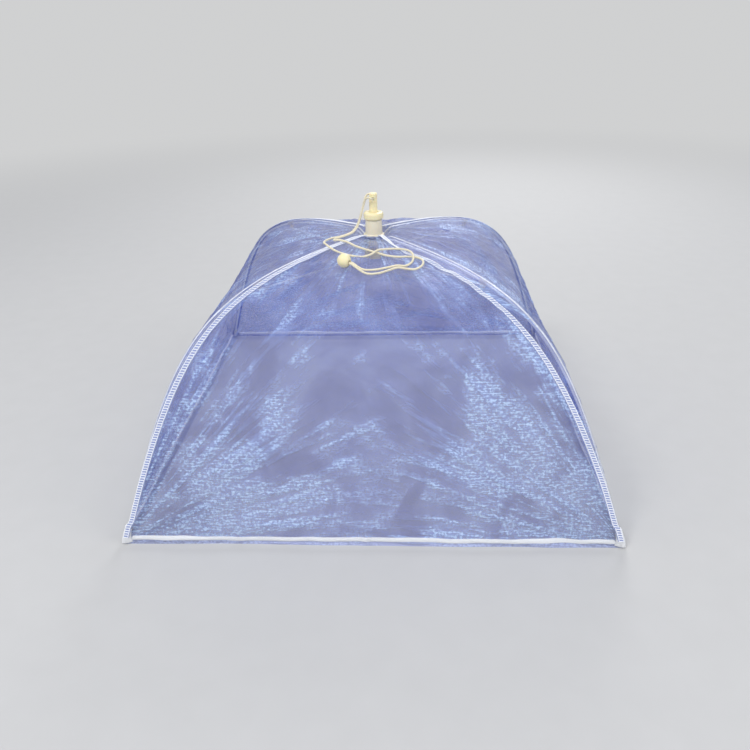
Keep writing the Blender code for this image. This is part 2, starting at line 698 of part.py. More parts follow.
def rib_hub(plastic, wire):
    """Notched disc under the cloth, the ring the ribs turn on, and the cap that keeps it in."""
    bore = SPIGOT_R + GAP
    groove = RING_R + RING_PLAY
    outline = [
        (bore, HUB_BOTTOM),
        (EYE_FROM_AXIS - groove, HUB_BOTTOM),
        (EYE_FROM_AXIS - groove, EYE_HEIGHT + groove),
        (EYE_FROM_AXIS + groove, EYE_HEIGHT + groove),
        (EYE_FROM_AXIS + groove, HUB_BOTTOM),
        (HUB_R, HUB_BOTTOM),
        (HUB_R, HUB_TOP),
        (bore, HUB_TOP),
    ]
    inner = EYE_FROM_AXIS - EYE_R - GAP
    span = 2 * (RIB_R + NOTCH_PLAY)
    cuts = notches(CAP_BOTTOM - OVERRUN, HUB_TOP - HUB_ROOF, inner, HUB_R + OVERRUN, span)
    add("rib_hub", combined("rib_hub", turned("hub_disc", outline), cuts), plastic)
    cap = [(bore, CAP_BOTTOM), (CAP_R, CAP_BOTTOM), (CAP_R, CAP_TOP), (bore, CAP_TOP)]
    cuts = notches(CAP_BOTTOM - OVERRUN, HUB_TOP - HUB_ROOF, inner, HUB_R + OVERRUN, span)
    add("rib_hub_cap", combined("rib_hub_cap", turned("cap_disc", cap), cuts), plastic)
    ring = []
    for step in range(RING_SIDES):
        turn = math.tau * (step + 0.5) / RING_SIDES
        ring.append((EYE_FROM_AXIS + RING_R * math.cos(turn), EYE_HEIGHT + RING_R * math.sin(turn)))
    add("rib_ring", turned("rib_ring", ring), wire)


def plunger(plastic):
    """Post, stop shoulder under the collar, stem and snap foot in one moulding."""
    foot_top = PEG_HEIGHT - RUNNER_BELOW_PEG - GAP
    outline = [
        (0, foot_top - FOOT_LENGTH),
        (STEM_R, foot_top - FOOT_LENGTH),
        (FOOT_R, foot_top - FOOT_LENGTH / 2),
        (FOOT_R, foot_top),
        (STEM_R, foot_top),
        (STEM_R, STOP_LOW),
        (STOP_R, STOP_LOW),
        (STOP_R, STOP_TOP),
        (POST_R, STOP_TOP),
        (POST_R, POST_TOP - POST_CHAMFER),
        (POST_R - POST_CHAMFER, POST_TOP),
        (0, POST_TOP),
    ]
    hole = drum("cord_hole", (0, 0, CORD_HOLE_HEIGHT), TANGENT, CORD_HOLE_R, POST_R + OVERRUN, SLEEVE_SIDES)
    post = combined("plunger", turned("post", outline), [("DIFFERENCE", hole, None)])
    add("plunger", post, plastic)


def runner(plastic):
    """Disc on the stem with a slot for each stretcher's wire and a seat for its peg, open below."""
    bore = STEM_R + GAP
    low = PEG_HEIGHT - RUNNER_BELOW_PEG
    disc = [(bore, low), (RUNNER_R, low), (RUNNER_R, RUNNER_TOP), (bore, RUNNER_TOP)]
    back = PEG_FROM_AXIS - STRETCHER_R - SEAT_LEAD_IN
    front = PEG_FROM_AXIS + STRETCHER_R + SEAT_PLAY
    slot_span = 2 * (STRETCHER_R + SEAT_PLAY)
    under = low - OVERRUN
    seat = block("seat", (back, -PEG_HALF_SPAN - SEAT_PLAY, under - GAP), (front, ROD_BESIDE, SEAT_ROOF))
    cuts = [("DIFFERENCE", seat.copy(), corner_turn(number)) for number in range(4)]
    cuts += notches(under, RUNNER_TOP + OVERRUN, back - SLOT_DEEPER, RUNNER_R + OVERRUN, slot_span, ROD_BESIDE)
    add("runner", combined("runner", turned("runner_disc", disc), cuts), plastic)


def laid_height(x, y):
    """Height of the canopy's outer face at a place seen from above."""
    turned_back = [Matrix.Rotation(-QUARTER * side, 3, "Z") for side in range(4)]
    number = min(range(4), key=lambda side: (turned_back[side] @ Vector((x, y, 0))).y)
    across, inward, _ = turned_back[number] @ Vector((x, y, 0))

    def spot(station):
        return turned_back[number] @ on_cloth(station, number, side_length(station, CLOTH) / 2 + across, CLOTH)

    def far_enough(station):
        return side_length(station, CLOTH) / 2 > abs(across) and spot(station).y <= inward

    return spot(station_where(far_enough, 0, 2)).z


def smooth_route(places):
    """Points one cord step apart on a smooth curve through places (centripetal Catmull-Rom)."""
    places = [Vector(p) for p in places]
    ends = [places[0] * 2 - places[1]] + places + [places[-1] * 2 - places[-2]]
    fine = []
    for a, b, c, d in zip(ends, ends[1:], ends[2:], ends[3:]):
        k1 = (b - a).length ** 0.5
        k2 = k1 + (c - b).length ** 0.5
        k3 = k2 + (d - c).length ** 0.5
        for number in range(CORD_FINE):
            t = k1 + (k2 - k1) * number / CORD_FINE
            ab, bc = a.lerp(b, t / k1), b.lerp(c, (t - k1) / (k2 - k1))
            cd = c.lerp(d, (t - k2) / (k3 - k2))
            fine.append(ab.lerp(bc, t / k2).lerp(bc.lerp(cd, (t - k1) / (k3 - k1)), (t - k1) / (k2 - k1)))
    fine.append(places[-1])
    run = [0]
    for here, after in zip(fine, fine[1:]):
        run.append(run[-1] + (after - here).length)
    count = round(run[-1] / CORD_STEP)
    points, at = [], 0
    for number in range(count + 1):
        goal = run[-1] * number / count
        while at < len(run) - 2 and run[at + 1] < goal:
            at += 1
        points.append(fine[at].lerp(fine[at + 1], (goal - run[at]) / (run[at + 1] - run[at])))
    return points


def bead_frame():
    """(middle, direction towards the strands, direction beside them) of the bead."""
    x, y = (value * MM for value in BEAD_PLACE)
    middle = Vector((x, y, laid_height(x, y) + BEAD_PLAY + BEAD_R))
    aim = Vector(BEAD_AIM).normalized()
    return middle, aim, aim.cross(Vector((0, 0, 1))).normalized()


def cord_route(side, fall, lie):
    """A strand's route: out of the post's cross hole, down, over the cloth and up to the bead's mouth.

    side is 1 for the strand behind the post and -1 for the one in front of it.
    """
    middle, aim, beside = bead_frame()
    mouth = middle + aim * (BEAD_MOUTH + GAP) - beside * side * CORD_SIDE_BY_SIDE / 2
    route = [Vector((0, side * (POST_R + GAP), CORD_HOLE_HEIGHT))]
    route += [Vector(place) * MM for place in fall]
    for x, y, lift in (Vector(place) * MM for place in lie):
        route.append(Vector((x, y, laid_height(x, y) + GAP + CORD_R + lift)))
    return route + [mouth + aim * CORD_STRAIGHT, mouth]


def pull_cord(cord, ivory):
    """Two strands as round curves, and the bead that ends them."""
    for name, side, fall, lie in (("far", 1, FAR_FALL, FAR_LIE), ("near", -1, NEAR_FALL, NEAR_LIE)):
        curve = bpy.data.curves.new("cord_" + name, "CURVE")
        curve.dimensions = "3D"
        curve.bevel_depth = CORD_R
        curve.bevel_resolution = 2
        curve.use_fill_caps = True
        points = smooth_route(cord_route(side, fall, lie))
        line = curve.splines.new("POLY")
        line.points.add(len(points) - 1)
        for spot, point in zip(line.points, points):
            spot.co = (*point, 1)
        strand = bpy.data.objects.new("cord_" + name, curve)
        curve.materials.append(cord)
        bpy.context.scene.collection.objects.link(strand)
    middle, aim, _ = bead_frame()
    outline = [(BEAD_BORE_R, -BEAD_MOUTH)]
    edge = math.asin(BEAD_MOUTH / BEAD_R)
    for step in range(BEAD_STEPS + 1):
        turn = edge * (2 * step / BEAD_STEPS - 1)
        outline.append((BEAD_R * math.cos(turn), BEAD_R * math.sin(turn)))
    outline.append((BEAD_BORE_R, BEAD_MOUTH))
    place = Matrix.Translation(middle) @ aim.to_track_quat("Z", "Y").to_matrix().to_4x4()
    add("cord_bead", turned("cord_bead", outline, BEAD_SIDES), ivory, place)


def build():
    clear_scene()
    mesh = finish("blue_mesh", (0.33, 0.45, 0.72), 0.45, alpha=0.4)
    thread = finish("white_overlock", (0.86, 0.89, 0.93), 0.8)
    ribbon = finish("white_ribbon", (0.84, 0.86, 0.9), 0.7)
    coated = finish("white_coated_wire", (0.8, 0.84, 0.86), 0.35)
    steel = finish("bright_wire", (0.62, 0.62, 0.6), 0.3, metallic=1.0)
    ivory = finish("ivory_plastic", (0.86, 0.8, 0.6), 0.38)
    milky = finish("milky_plastic", (0.85, 0.84, 0.8), 0.3)
    cord = finish("cream_cord", (0.88, 0.84, 0.7), 0.75)
    collar(milky, ivory)
    rib_hub(milky, steel)
    plunger(ivory)
    runner(ivory)
    ribs(coated, milky)
    stretchers(steel)
    panels(mesh)
    seam_bands(thread)
    hem_ribbons(ribbon)
    corner_pockets(ribbon)
    pull_cord(cord, ivory)


build()
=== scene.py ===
"""Mesh food cover umbrella, open on a table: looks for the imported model."""

import math

import bmesh
import bpy
from mathutils import Matrix, Vector, noise


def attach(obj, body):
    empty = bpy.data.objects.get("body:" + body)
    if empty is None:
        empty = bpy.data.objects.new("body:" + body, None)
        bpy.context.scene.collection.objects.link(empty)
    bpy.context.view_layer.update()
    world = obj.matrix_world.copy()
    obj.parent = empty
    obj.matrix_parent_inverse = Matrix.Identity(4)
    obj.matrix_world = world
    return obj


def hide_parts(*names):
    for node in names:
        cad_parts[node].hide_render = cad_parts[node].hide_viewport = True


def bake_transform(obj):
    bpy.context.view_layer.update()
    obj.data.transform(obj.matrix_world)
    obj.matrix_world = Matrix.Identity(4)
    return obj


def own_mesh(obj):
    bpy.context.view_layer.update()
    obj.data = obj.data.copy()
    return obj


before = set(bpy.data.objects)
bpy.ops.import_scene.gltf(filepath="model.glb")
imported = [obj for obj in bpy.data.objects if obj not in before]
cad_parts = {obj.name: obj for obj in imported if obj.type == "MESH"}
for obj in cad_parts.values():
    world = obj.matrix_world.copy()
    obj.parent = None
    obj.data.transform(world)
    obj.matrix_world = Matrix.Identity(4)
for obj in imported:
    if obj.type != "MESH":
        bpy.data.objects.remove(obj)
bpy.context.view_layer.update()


# Camera
# At the photograph's viewing angle: a little right of the middle, above the canopy's top, looking
# down on the front. It is placed by the four corners of the hem and the top of the post.
CAMERA_PLACE = (0.0264, -0.6056, 0.3708)
YAW, DOWN, ROLL = (math.radians(degrees) for degrees in (-2.70, 28.09, -1.39))
camera_data = bpy.data.cameras.new("camera")
camera_data.sensor_width = 36
camera_data.lens = 32.04
camera = bpy.data.objects.new("camera", camera_data)
bpy.context.scene.collection.objects.link(camera)
level_right = Vector((math.cos(YAW), -math.sin(YAW), 0))
sight = Vector((math.sin(YAW) * math.cos(DOWN), math.cos(YAW) * math.cos(DOWN), -math.sin(DOWN)))
upright = level_right.cross(sight)
camera_right = level_right * math.cos(ROLL) + upright * math.sin(ROLL)
camera_up = upright * math.cos(ROLL) - level_right * math.sin(ROLL)
camera_turn = Matrix((camera_right, camera_up, -sight)).transposed().to_4x4()
camera.matrix_world = Matrix.Translation(CAMERA_PLACE) @ camera_turn
bpy.context.scene.camera = camera


# Pull cord and bead
# Cream braided nylon cord. It goes through the post's cross hole, and both strands lie loose on
# the canopy and end in one ivory bead, where they are knotted inside the bore.
MM = 0.001
CORD_R = 0.9 * MM
CORD_SIDES = 10
CORD_STEP = 1.1 * MM
CURVE_STEPS = 16  # between two points of a route
# Routes in millimetres: over the post, then each strand from beside the post to the bead
OVER_POST = (
    (-14.8, -1.9, 204.4), (-12.6, -0.3, 210.0), (-11.0, 0.2, 215.6), (-9.4, 0.9, 221.0), (-8.2, 2.3, 225.4),
    (-6.8, 4.3, 229.0), (-4.7, 6.2, 230.4), (-2.2, 7.0, 229.8), (-0.5, 5.9, 228.7), (0.0, 4.0, 228.3),
    (0.0, 0.0, 228.3), (0.0, -4.0, 228.3), (-0.5, -5.9, 228.6), (-2.4, -6.9, 229.6), (-4.8, -6.0, 229.9),
    (-6.8, -4.4, 228.0), (-8.1, -3.0, 224.4), (-9.5, -2.2, 219.6), (-10.9, -2.0, 214.6), (-12.4, -2.6, 209.4),
    (-14.4, -4.5, 204.0),
)
FAR_STRAND = (
    (-14.8, -1.9, 204.4), (-19.0, -7.0, 199.8), (-24.5, -13.2, 198.6), (-30.5, -17.6, 198.0),
    (-37.0, -19.0, 197.2), (-42.0, -23.6, 196.5), (-43.0, -32.0, 197.1), (-40.5, -40.5, 198.4),
    (-35.8, -47.5, 197.2), (-28.5, -53.2, 195.1), (-18.5, -57.8, 193.6), (-8.0, -60.2, 193.0),
    (-0.5, -58.0, 194.3), (5.2, -53.6, 196.5), (12.0, -49.6, 196.1), (20.5, -47.6, 195.8),
    (28.0, -50.6, 196.0), (33.2, -57.0, 196.1), (35.4, -64.2, 194.8), (34.4, -70.6, 191.8),
    (29.2, -74.6, 189.7), (22.0, -74.0, 189.7), (13.5, -76.6, 188.9), (3.5, -79.2, 188.0),
    (-6.5, -79.4, 188.5), (-14.8, -77.3, 193.2), (-16.7, -76.2, 193.6),
)
NEAR_STRAND = (
    (-14.4, -4.5, 204.0), (-18.0, -9.4, 200.2), (-22.6, -15.4, 199.3), (-28.6, -20.0, 198.5),
    (-33.6, -23.6, 197.9), (-34.2, -28.6, 198.2), (-29.4, -31.8, 199.3), (-22.8, -35.2, 198.7),
    (-14.5, -41.6, 196.7), (-4.5, -48.0, 195.3), (4.8, -53.8, 194.3), (13.0, -58.6, 193.4),
    (22.6, -61.2, 193.0), (32.5, -61.4, 193.1), (40.0, -64.4, 192.9), (43.6, -70.4, 192.0),
    (42.2, -76.4, 190.1), (36.6, -79.6, 188.3), (29.4, -78.6, 188.5), (22.6, -77.0, 188.9),
    (14.6, -80.2, 187.7), (6.0, -83.8, 186.5), (-3.5, -84.4, 186.8), (-15.9, -79.2, 193.2),
    (-17.8, -78.2, 193.6),
)


def smooth_route(places, step):
    """Points a step apart on a smooth curve through places, which are in millimetres."""
    places = [Vector(place) * MM for place in places]
    ends = [places[0] * 2 - places[1]] + places + [places[-1] * 2 - places[-2]]
    fine = []
    for a, b, c, d in zip(ends, ends[1:], ends[2:], ends[3:]):
        k1 = (b - a).length ** 0.5
        k2 = k1 + (c - b).length ** 0.5
        k3 = k2 + (d - c).length ** 0.5
        for number in range(CURVE_STEPS):
            t = k1 + (k2 - k1) * number / CURVE_STEPS
            ab, bc = a.lerp(b, t / k1), b.lerp(c, (t - k1) / (k2 - k1))
            cd = c.lerp(d, (t - k2) / (k3 - k2))
            fine.append(ab.lerp(bc, t / k2).lerp(bc.lerp(cd, (t - k1) / (k3 - k1)), (t - k1) / (k2 - k1)))
    fine.append(places[-1])
    run = [0.0]
    for here, after in zip(fine, fine[1:]):
        run.append(run[-1] + (after - here).length)
    count = max(round(run[-1] / step), 2)
    points, at = [], 0
    for number in range(count + 1):
        goal = run[-1] * number / count
        while at < len(run) - 2 and run[at + 1] < goal:
            at += 1
        points.append(fine[at].lerp(fine[at + 1], (goal - run[at]) / (run[at + 1] - run[at])))
    return points


def piece(name, mesh, *materials):
    """A finished object at the origin from a mesh whose place is in its points."""
    made = bpy.data.objects.new(name, mesh)
    bpy.context.scene.collection.objects.link(made)
    for material in materials:
        mesh.materials.append(material)
    return made


def tube(name, route, radius, sides):
    """A smooth round tube along a route, its UV map in metres: along the tube, then round it."""
    mesh = bpy.data.meshes.new(name)
    corners, faces, runs = [], [], []
    beside = (route[1] - route[0]).orthogonal().normalized()
    run = 0.0
    last = len(route) - 1
    for number, point in enumerate(route):
        before, after = route[max(number - 1, 0)], route[min(number + 1, last)]
        along = (after - before).normalized()
        beside = (beside - along * beside.dot(along)).normalized()
        over = along.cross(beside)
        run += (point - before).length if number else 0
        runs.append(run)
        for side in range(sides):
            turn = math.tau * side / sides
            corners.append(point + (beside * math.cos(turn) + over * math.sin(turn)) * radius)
    for ring in range(last):
        for side in range(sides):
            a, b = ring * sides + side, ring * sides + (side + 1) % sides
            faces.append((a, b, b + sides, a + sides))
    faces.append(tuple(reversed(range(sides))))
    faces.append(tuple(last * sides + side for side in range(sides)))
    mesh.from_pydata(corners, [], faces)
    layer = mesh.uv_layers.new(name="metres")
    for face in mesh.polygons:
        for place, loop in enumerate(face.loop_indices):
            ring, side = divmod(mesh.loops[loop].vertex_index, sides)
            if len(face.vertices) == 4 and place in (1, 2) and side == 0:
                side = sides  # the last face of a ring ends where the first one starts
            layer.data[loop].uv = (runs[ring], side / sides * math.tau * radius)
    mesh.shade_smooth()
    return mesh


class Tree:
    """A node tree that is being built, with short ways to add, feed and link its nodes."""

    def __init__(self, tree):
        self.nodes, self.links = tree.nodes, tree.links

    def feed(self, node, inputs):
        """Gives a node's inputs, by name or number, plain values, colours or other nodes' outputs."""
        for key, source in inputs.items():
            if isinstance(source, bpy.types.NodeSocket):
                self.links.new(source, node.inputs[key])
            else:
                node.inputs[key].default_value = (*source, 1) if isinstance(source, tuple) else source

    def add(self, kind, inputs=None, **settings):
        made = self.nodes.new(kind)
        for key, value in settings.items():
            setattr(made, key, value)
        self.feed(made, inputs or {})
        return made

    def calc(self, operation, *sources):
        """The result of a sum on sockets or numbers."""
        return self.add("ShaderNodeMath", dict(enumerate(sources)), operation=operation).outputs[0]

    def ramp(self, low, high, source):
        """Smoothly from 0 where source is low to 1 where it is high."""
        inputs = {"Value": source, "From Min": low, "From Max": high}
        return self.add("ShaderNodeMapRange", inputs, interpolation_type="SMOOTHSTEP").outputs[0]

    def between(self, share, low, high):
        """A number between low and high."""
        return self.add("ShaderNodeMix", {0: share, 2: low, 3: high}).outputs[0]

    def color(self, share, low, high):
        """A colour between low and high."""
        return self.add("ShaderNodeMix", {0: share, 6: low, 7: high}, data_type="RGBA").outputs[2]

    def vector(self, x, y, z):
        return self.add("ShaderNodeCombineXYZ", {0: x, 1: y, 2: z}).outputs[0]

    def apart(self, vector):
        """A vector's three numbers."""
        return self.add("ShaderNodeSeparateXYZ", {0: vector}).outputs

    def noise(self, place, scale, detail, **inputs):
        inputs = {"Vector": place, "Scale": scale, "Detail": detail, **inputs}
        return self.add("ShaderNodeTexNoise", inputs).outputs["Fac"]

    def bump(self, height, strength, distance, before=None):
        """The normal of a surface with relief, on top of a coarser relief's if that comes before."""
        inputs = {"Height": height, "Strength": strength, "Distance": distance}
        if before:
            inputs["Normal"] = before
        return self.add("ShaderNodeBump", inputs).outputs["Normal"]

    def effect(self, group, **inputs):
        """What a shader node group puts out; its inputs are named with _ for a space."""
        inputs = {label.replace("_", " "): source for label, source in inputs.items()}
        return self.add("ShaderNodeGroup", inputs, node_tree=group).outputs

    def object_place(self):
        return self.add("ShaderNodeTexCoord").outputs["Object"]

    def uv_metres(self):
        return self.add("ShaderNodeUVMap", uv_map="metres").outputs[0]


def material_of(name, color, roughness, **plain):
    """A new material with its tree and its shader; plain values are named with _ for a space."""
    made = bpy.data.materials.new(name)
    made.use_nodes = True
    tree = Tree(made.node_tree)
    shader = tree.nodes["Principled BSDF"]
    tree.feed(shader, {"Base Color": color, "Roughness": roughness})
    for label, value in plain.items():
        shader.inputs[label.replace("_", " ")].default_value = value
    return made, tree, shader


def shader_group(name, inputs, outputs):
    """A shader node group: its tree, what it is given, and the node that takes its results.

    Inputs are named numbers with their usual values, next to the Place that every group reads.
    """
    group = bpy.data.node_groups.new(name, "ShaderNodeTree")
    group.interface.new_socket("Place", in_out="INPUT", socket_type="NodeSocketVector")
    for label, value in inputs.items():
        socket = group.interface.new_socket(label, in_out="INPUT", socket_type="NodeSocketFloat")
        socket.default_value = value
    for label in outputs:
        group.interface.new_socket(label, in_out="OUTPUT", socket_type="NodeSocketFloat")
    return group, Tree(group), group.nodes.new("NodeGroupInput").outputs, group.nodes.new("NodeGroupOutput")


# Braid: two sets of yarn bundles wound opposite ways round the cord, and a painted shade that darkens the
# grooves between them
BUNDLES_ROUND = 4.0
braided_yarn, tree, given, result = shader_group(
    "braided yarn", {"Pitch": 1.8 * MM, "Round": 5.7 * MM}, ("Height", "Shade"),
)
place = tree.apart(given["Place"])
along_share = tree.calc("DIVIDE", place[0], given["Pitch"])
round_turns = tree.calc("MULTIPLY", tree.calc("DIVIDE", place[1], given["Round"]), BUNDLES_ROUND)
bundles = []
for wound in ("ADD", "SUBTRACT"):
    lean = tree.calc(wound, along_share, round_turns)
    wave = tree.calc("SINE", tree.calc("MULTIPLY", lean, math.tau))
    bundles.append(tree.calc("MULTIPLY_ADD", wave, 0.5, 0.5))
crossing = tree.calc("MAXIMUM", *bundles)
tree.feed(result, {"Height": crossing, "Shade": tree.calc("POWER", crossing, 2.0)})

cream_braid, tree, shader = material_of("cream_braid", (0.78, 0.71, 0.5), 0.62, Sheen_Weight=0.3)
metres = tree.uv_metres()
braid = tree.effect(braided_yarn, Place=metres)
yarn = tree.color(tree.noise(metres, 160.0, 3.0), (0.95, 0.89, 0.7), (0.88, 0.8, 0.56))
# Painted shade: the cord's colour darkens in the grooves where the bundles sink
tree.feed(shader, {
    "Base Color": tree.color(braid["Shade"], (0.7, 0.62, 0.42), yarn),
    "Normal": tree.bump(braid["Height"], 0.7, 0.3 * MM),
})

# Moulded plastic: clouded tint, fine grain, and scuffs that dull the gloss
moulding, tree, given, result = shader_group("moulded plastic", {}, ("Tint", "Gloss", "Height"))
clouds = tree.noise(given["Place"], 90.0, 4.0, Roughness=0.6)
grains = tree.noise(given["Place"], 900.0, 2.0)
scuffs = tree.noise(given["Place"], 260.0, 6.0, Distortion=1.5)
tree.feed(result, {
    "Tint": clouds,
    "Gloss": tree.calc("MULTIPLY_ADD", scuffs, 0.3, 0.22),
    "Height": tree.calc("MULTIPLY_ADD", grains, 0.35, clouds),
})


def plastic(name, light, dark, **plain):
    """Moulded plastic between two tints of one colour."""
    made, tree, shader = material_of(name, light, 0.38, **plain)
    surface = tree.effect(moulding, Place=tree.object_place())
    tree.feed(shader, {
        "Base Color": tree.color(surface["Tint"], dark, light),
        "Roughness": surface["Gloss"],
        "Normal": tree.bump(surface["Height"], 0.25, 0.4 * MM),
    })
    return made


ivory = plastic(
    "ivory_moulding", (0.91, 0.83, 0.54), (0.83, 0.73, 0.43),
    Subsurface_Weight=0.25, Subsurface_Radius=(0.004, 0.003, 0.0015), Subsurface_Scale=0.5,
)


def lathe(name, outline, sides, place):
    """A closed outline of (radius, height) turned round its own Z, then set in place."""
    shape = bmesh.new()
    ways = [(math.cos(math.tau * side / sides), math.sin(math.tau * side / sides)) for side in range(sides)]
    rings = [[shape.verts.new((r * x, r * y, height)) for x, y in ways] for r, height in outline]
    for ring, after in zip(rings, rings[1:] + rings[:1]):
        for side in range(sides):
            beyond = (side + 1) % sides
            shape.faces.new((ring[side], ring[beyond], after[beyond], after[side]))
    bmesh.ops.recalc_face_normals(shape, faces=shape.faces)
    shape.transform(place)
    mesh = bpy.data.meshes.new(name)
    shape.to_mesh(mesh)
    shape.free()
    mesh.shade_smooth()
    return mesh


BEAD_R, BEAD_MOUTH, BEAD_BORE = 5.8 * MM, 5.2 * MM, 1.9 * MM
BEAD_MIDDLE = Vector((-22.0, -74.6, 194.654)) * MM
BEAD_AIM = Vector((0.860, -0.473, -0.189)).normalized()
BEAD_SEAM, BEAD_LIP = 0.12 * MM, 0.5 * MM
BEAD_SIDES, BEAD_HALF_STEPS = 48, 16
mouth_turn = math.asin(BEAD_MOUTH / BEAD_R)
bead_outline = [(BEAD_BORE, BEAD_LIP - BEAD_MOUTH), (BEAD_BORE + BEAD_LIP / 2, -BEAD_MOUTH)]
for step in range(-BEAD_HALF_STEPS, BEAD_HALF_STEPS + 1):
    turn = mouth_turn * step / BEAD_HALF_STEPS
    swell = BEAD_R + (0 if step else BEAD_SEAM)
    bead_outline.append((swell * math.cos(turn), swell * math.sin(turn)))
bead_outline += [(BEAD_BORE + BEAD_LIP / 2, BEAD_MOUTH), (BEAD_BORE, BEAD_MOUTH - BEAD_LIP)]
bead_place = Matrix.Translation(BEAD_MIDDLE) @ BEAD_AIM.to_track_quat("Z", "Y").to_matrix().to_4x4()
bead = piece("cord_bead_ball", lathe("cord_bead_ball", bead_outline, BEAD_SIDES, bead_place), ivory)
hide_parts("cord_bead")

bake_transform(bead)

over_route = smooth_route(OVER_POST, CORD_STEP)
over_post = piece("cord_over_post", tube("cord_over_post", over_route, CORD_R, CORD_SIDES), cream_braid)
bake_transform(over_post)
strands = [(over_post, over_route)]
for name, places in (("far", FAR_STRAND), ("near", NEAR_STRAND)):
    route = smooth_route(places, CORD_STEP)
    strand = piece("cord_strand_" + name, tube("cord_strand_" + name, route, CORD_R, CORD_SIDES), cream_braid)
    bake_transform(strand)
    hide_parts("cord_" + name)
    strands.append((strand, route))
for strand, route in strands:
    length = sum((after - here).length for here, after in zip(route, route[1:]))


# Collar, hub and plunger
# Mouldings on the middle axis: a milky spool clamped through the cloth with an ivory rim cap on it,
# the notched hub and washer below, and the ivory post, stem and runner that slide through them.
milky = plastic(
    "milky_moulding", (0.86, 0.8, 0.65), (0.76, 0.69, 0.51),
    Subsurface_Weight=0.5, Subsurface_Radius=(0.006, 0.005, 0.004), Subsurface_Scale=0.6, Coat_Weight=0.2,
)


def made_of(material, *nodes):
    """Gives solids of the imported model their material."""
    for node in nodes:
        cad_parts[node].data.materials[0] = material


made_of(milky, "collar", "rib_hub", "rib_hub_cap")
made_of(ivory, "collar_rim", "plunger", "runner")


# Ribs, their sleeves, the ring and the stretchers
# Spring wire dipped in white plastic, with a moulded clip and tip cap on each; the ring in the hub
# and the stretchers are bright drawn wire.
CORNERS = ("front_left", "front_right", "back_right", "back_left")
dipped_wire, tree, shader = material_of(
    "dipped_wire", (0.8, 0.84, 0.87), 0.3, Coat_Weight=0.4, Coat_Roughness=0.25,
)
dips = tree.noise(tree.object_place(), 75.0, 3.0)
tree.feed(shader, {
    "Base Color": tree.color(dips, (0.82, 0.86, 0.9), (0.94, 0.96, 0.97)),
    "Roughness": tree.calc("MULTIPLY_ADD", dips, 0.3, 0.15),
    "Normal": tree.bump(dips, 0.3, 0.5 * MM),
})
drawn_wire, tree, shader = material_of("drawn_wire", (0.85, 0.86, 0.86), 0.3, Metallic=0.4)
lines = tree.noise(tree.object_place(), 420.0, 5.0, Roughness=0.7)
tree.feed(shader, {
    "Base Color": tree.color(lines, (0.78, 0.8, 0.82), (0.97, 0.98, 0.99)),
    "Roughness": tree.calc("MULTIPLY_ADD", lines, 0.35, 0.12),
    "Normal": tree.bump(lines, 0.35, 0.2 * MM),
})
for corner in CORNERS:
    made_of(dipped_wire, "rib_" + corner)
    made_of(milky, "rib_tip_" + corner, "rib_clip_" + corner)
    made_of(drawn_wire, "stretcher_" + corner)
made_of(drawn_wire, "rib_ring")


# Canopy
# Four gores of blue see-through mesh, sewn edge to edge and stretched over the ribs, with the
# creases of a cover that is kept folded. Each corner's quarter follows its rib when it folds.
SIDES = ("front", "right", "back", "left")
FIRST_CORNER, QUARTER = math.radians(225), math.radians(90)
EYE_FROM_AXIS, EYE_HEIGHT = 7.6 * MM, 188.6 * MM
SHOULDER = Vector((26 * MM, 194.4 * MM))
RIB_END = Vector((278.8148 * MM, 2.5 * MM))
SLOT_PULL, SHOULDER_PULL, TOP_PULL, FOOT_PULL = 11 * MM, 8 * MM, 168 * MM, 164 * MM
TOP_SLOPE, FOOT_SLOPE = math.radians(2.8), math.radians(65.7)
TOP_WAY = Vector((math.cos(TOP_SLOPE), -math.sin(TOP_SLOPE)))
FOOT_WAY = Vector((math.cos(FOOT_SLOPE), -math.sin(FOOT_SLOPE)))
CLOTH_OFF_WIRE = 2.05 * MM
HOLE_LIFT = 0.2 * MM
PANEL_SAG = 3.5 * MM
FOLD_ROUND = 2.6 * MM
FOLD_FULL_AT = 30 * MM  # where half a side is shorter, the rounding over the rib is narrower
CLOTH_MIDDLE = 0.25 * MM
# How far each corner's seam lies from its rib: at the foot, what is added above it, most of it on
# top, and what is added down the side
SEAM_NEAR, SEAM_STRAYS = 3.5 * MM, (4.5 * MM, 25 * MM, 4 * MM, 4 * MM)
SEAM_DRIFTS = (3.2 * MM, 5 * MM, 0, 0)
SEAM_SIDES = (1, -1, 1, -1)
SEAM_LIMIT_SHARE = 0.55  # of half a side
CLAMPED_R = 9.2 * MM


def bezier(a, b, c, d, share):
    rest = 1 - share
    point = rest**3 * a + 3 * rest**2 * share * b + 3 * rest * share**2 * c + share**3 * d
    way = rest**2 * (b - a) + 2 * rest * share * (c - b) + share**2 * (d - c)
    return point, way.normalized()


def rib_point(station):
    """(point, direction) on a rib's middle line, as (from the axis, height).

    Station 0 is at its eye, 1 at its shoulder and 2 at its tip.
    """
    eye = Vector((EYE_FROM_AXIS, EYE_HEIGHT))
    if station <= 1:
        pulled = eye + Vector((SLOT_PULL, 0)), SHOULDER - TOP_WAY * SHOULDER_PULL
        return bezier(eye, *pulled, SHOULDER, station)
    if station <= 2:
        pulled = SHOULDER + TOP_WAY * TOP_PULL, RIB_END - FOOT_WAY * FOOT_PULL
        return bezier(SHOULDER, *pulled, RIB_END, station - 1)
    return RIB_END + FOOT_WAY * (station - 2) * FOOT_PULL, FOOT_WAY


def fold_point(station, out):
    """((from the axis, height), outward direction) of the cloth's fold over a rib."""
    point, way = rib_point(station)
    square = Vector((-way.y, way.x))
    lift = HOLE_LIFT * max(0, 1 - station)
    return point + square * (CLOTH_OFF_WIRE + out) * math.sqrt(2) + Vector((0, lift)), square


def half_side(station, out=CLOTH_MIDDLE):
    """Half the width of a gore, from its middle to the fold over a rib."""
    return fold_point(station, out)[0].x / math.sqrt(2)


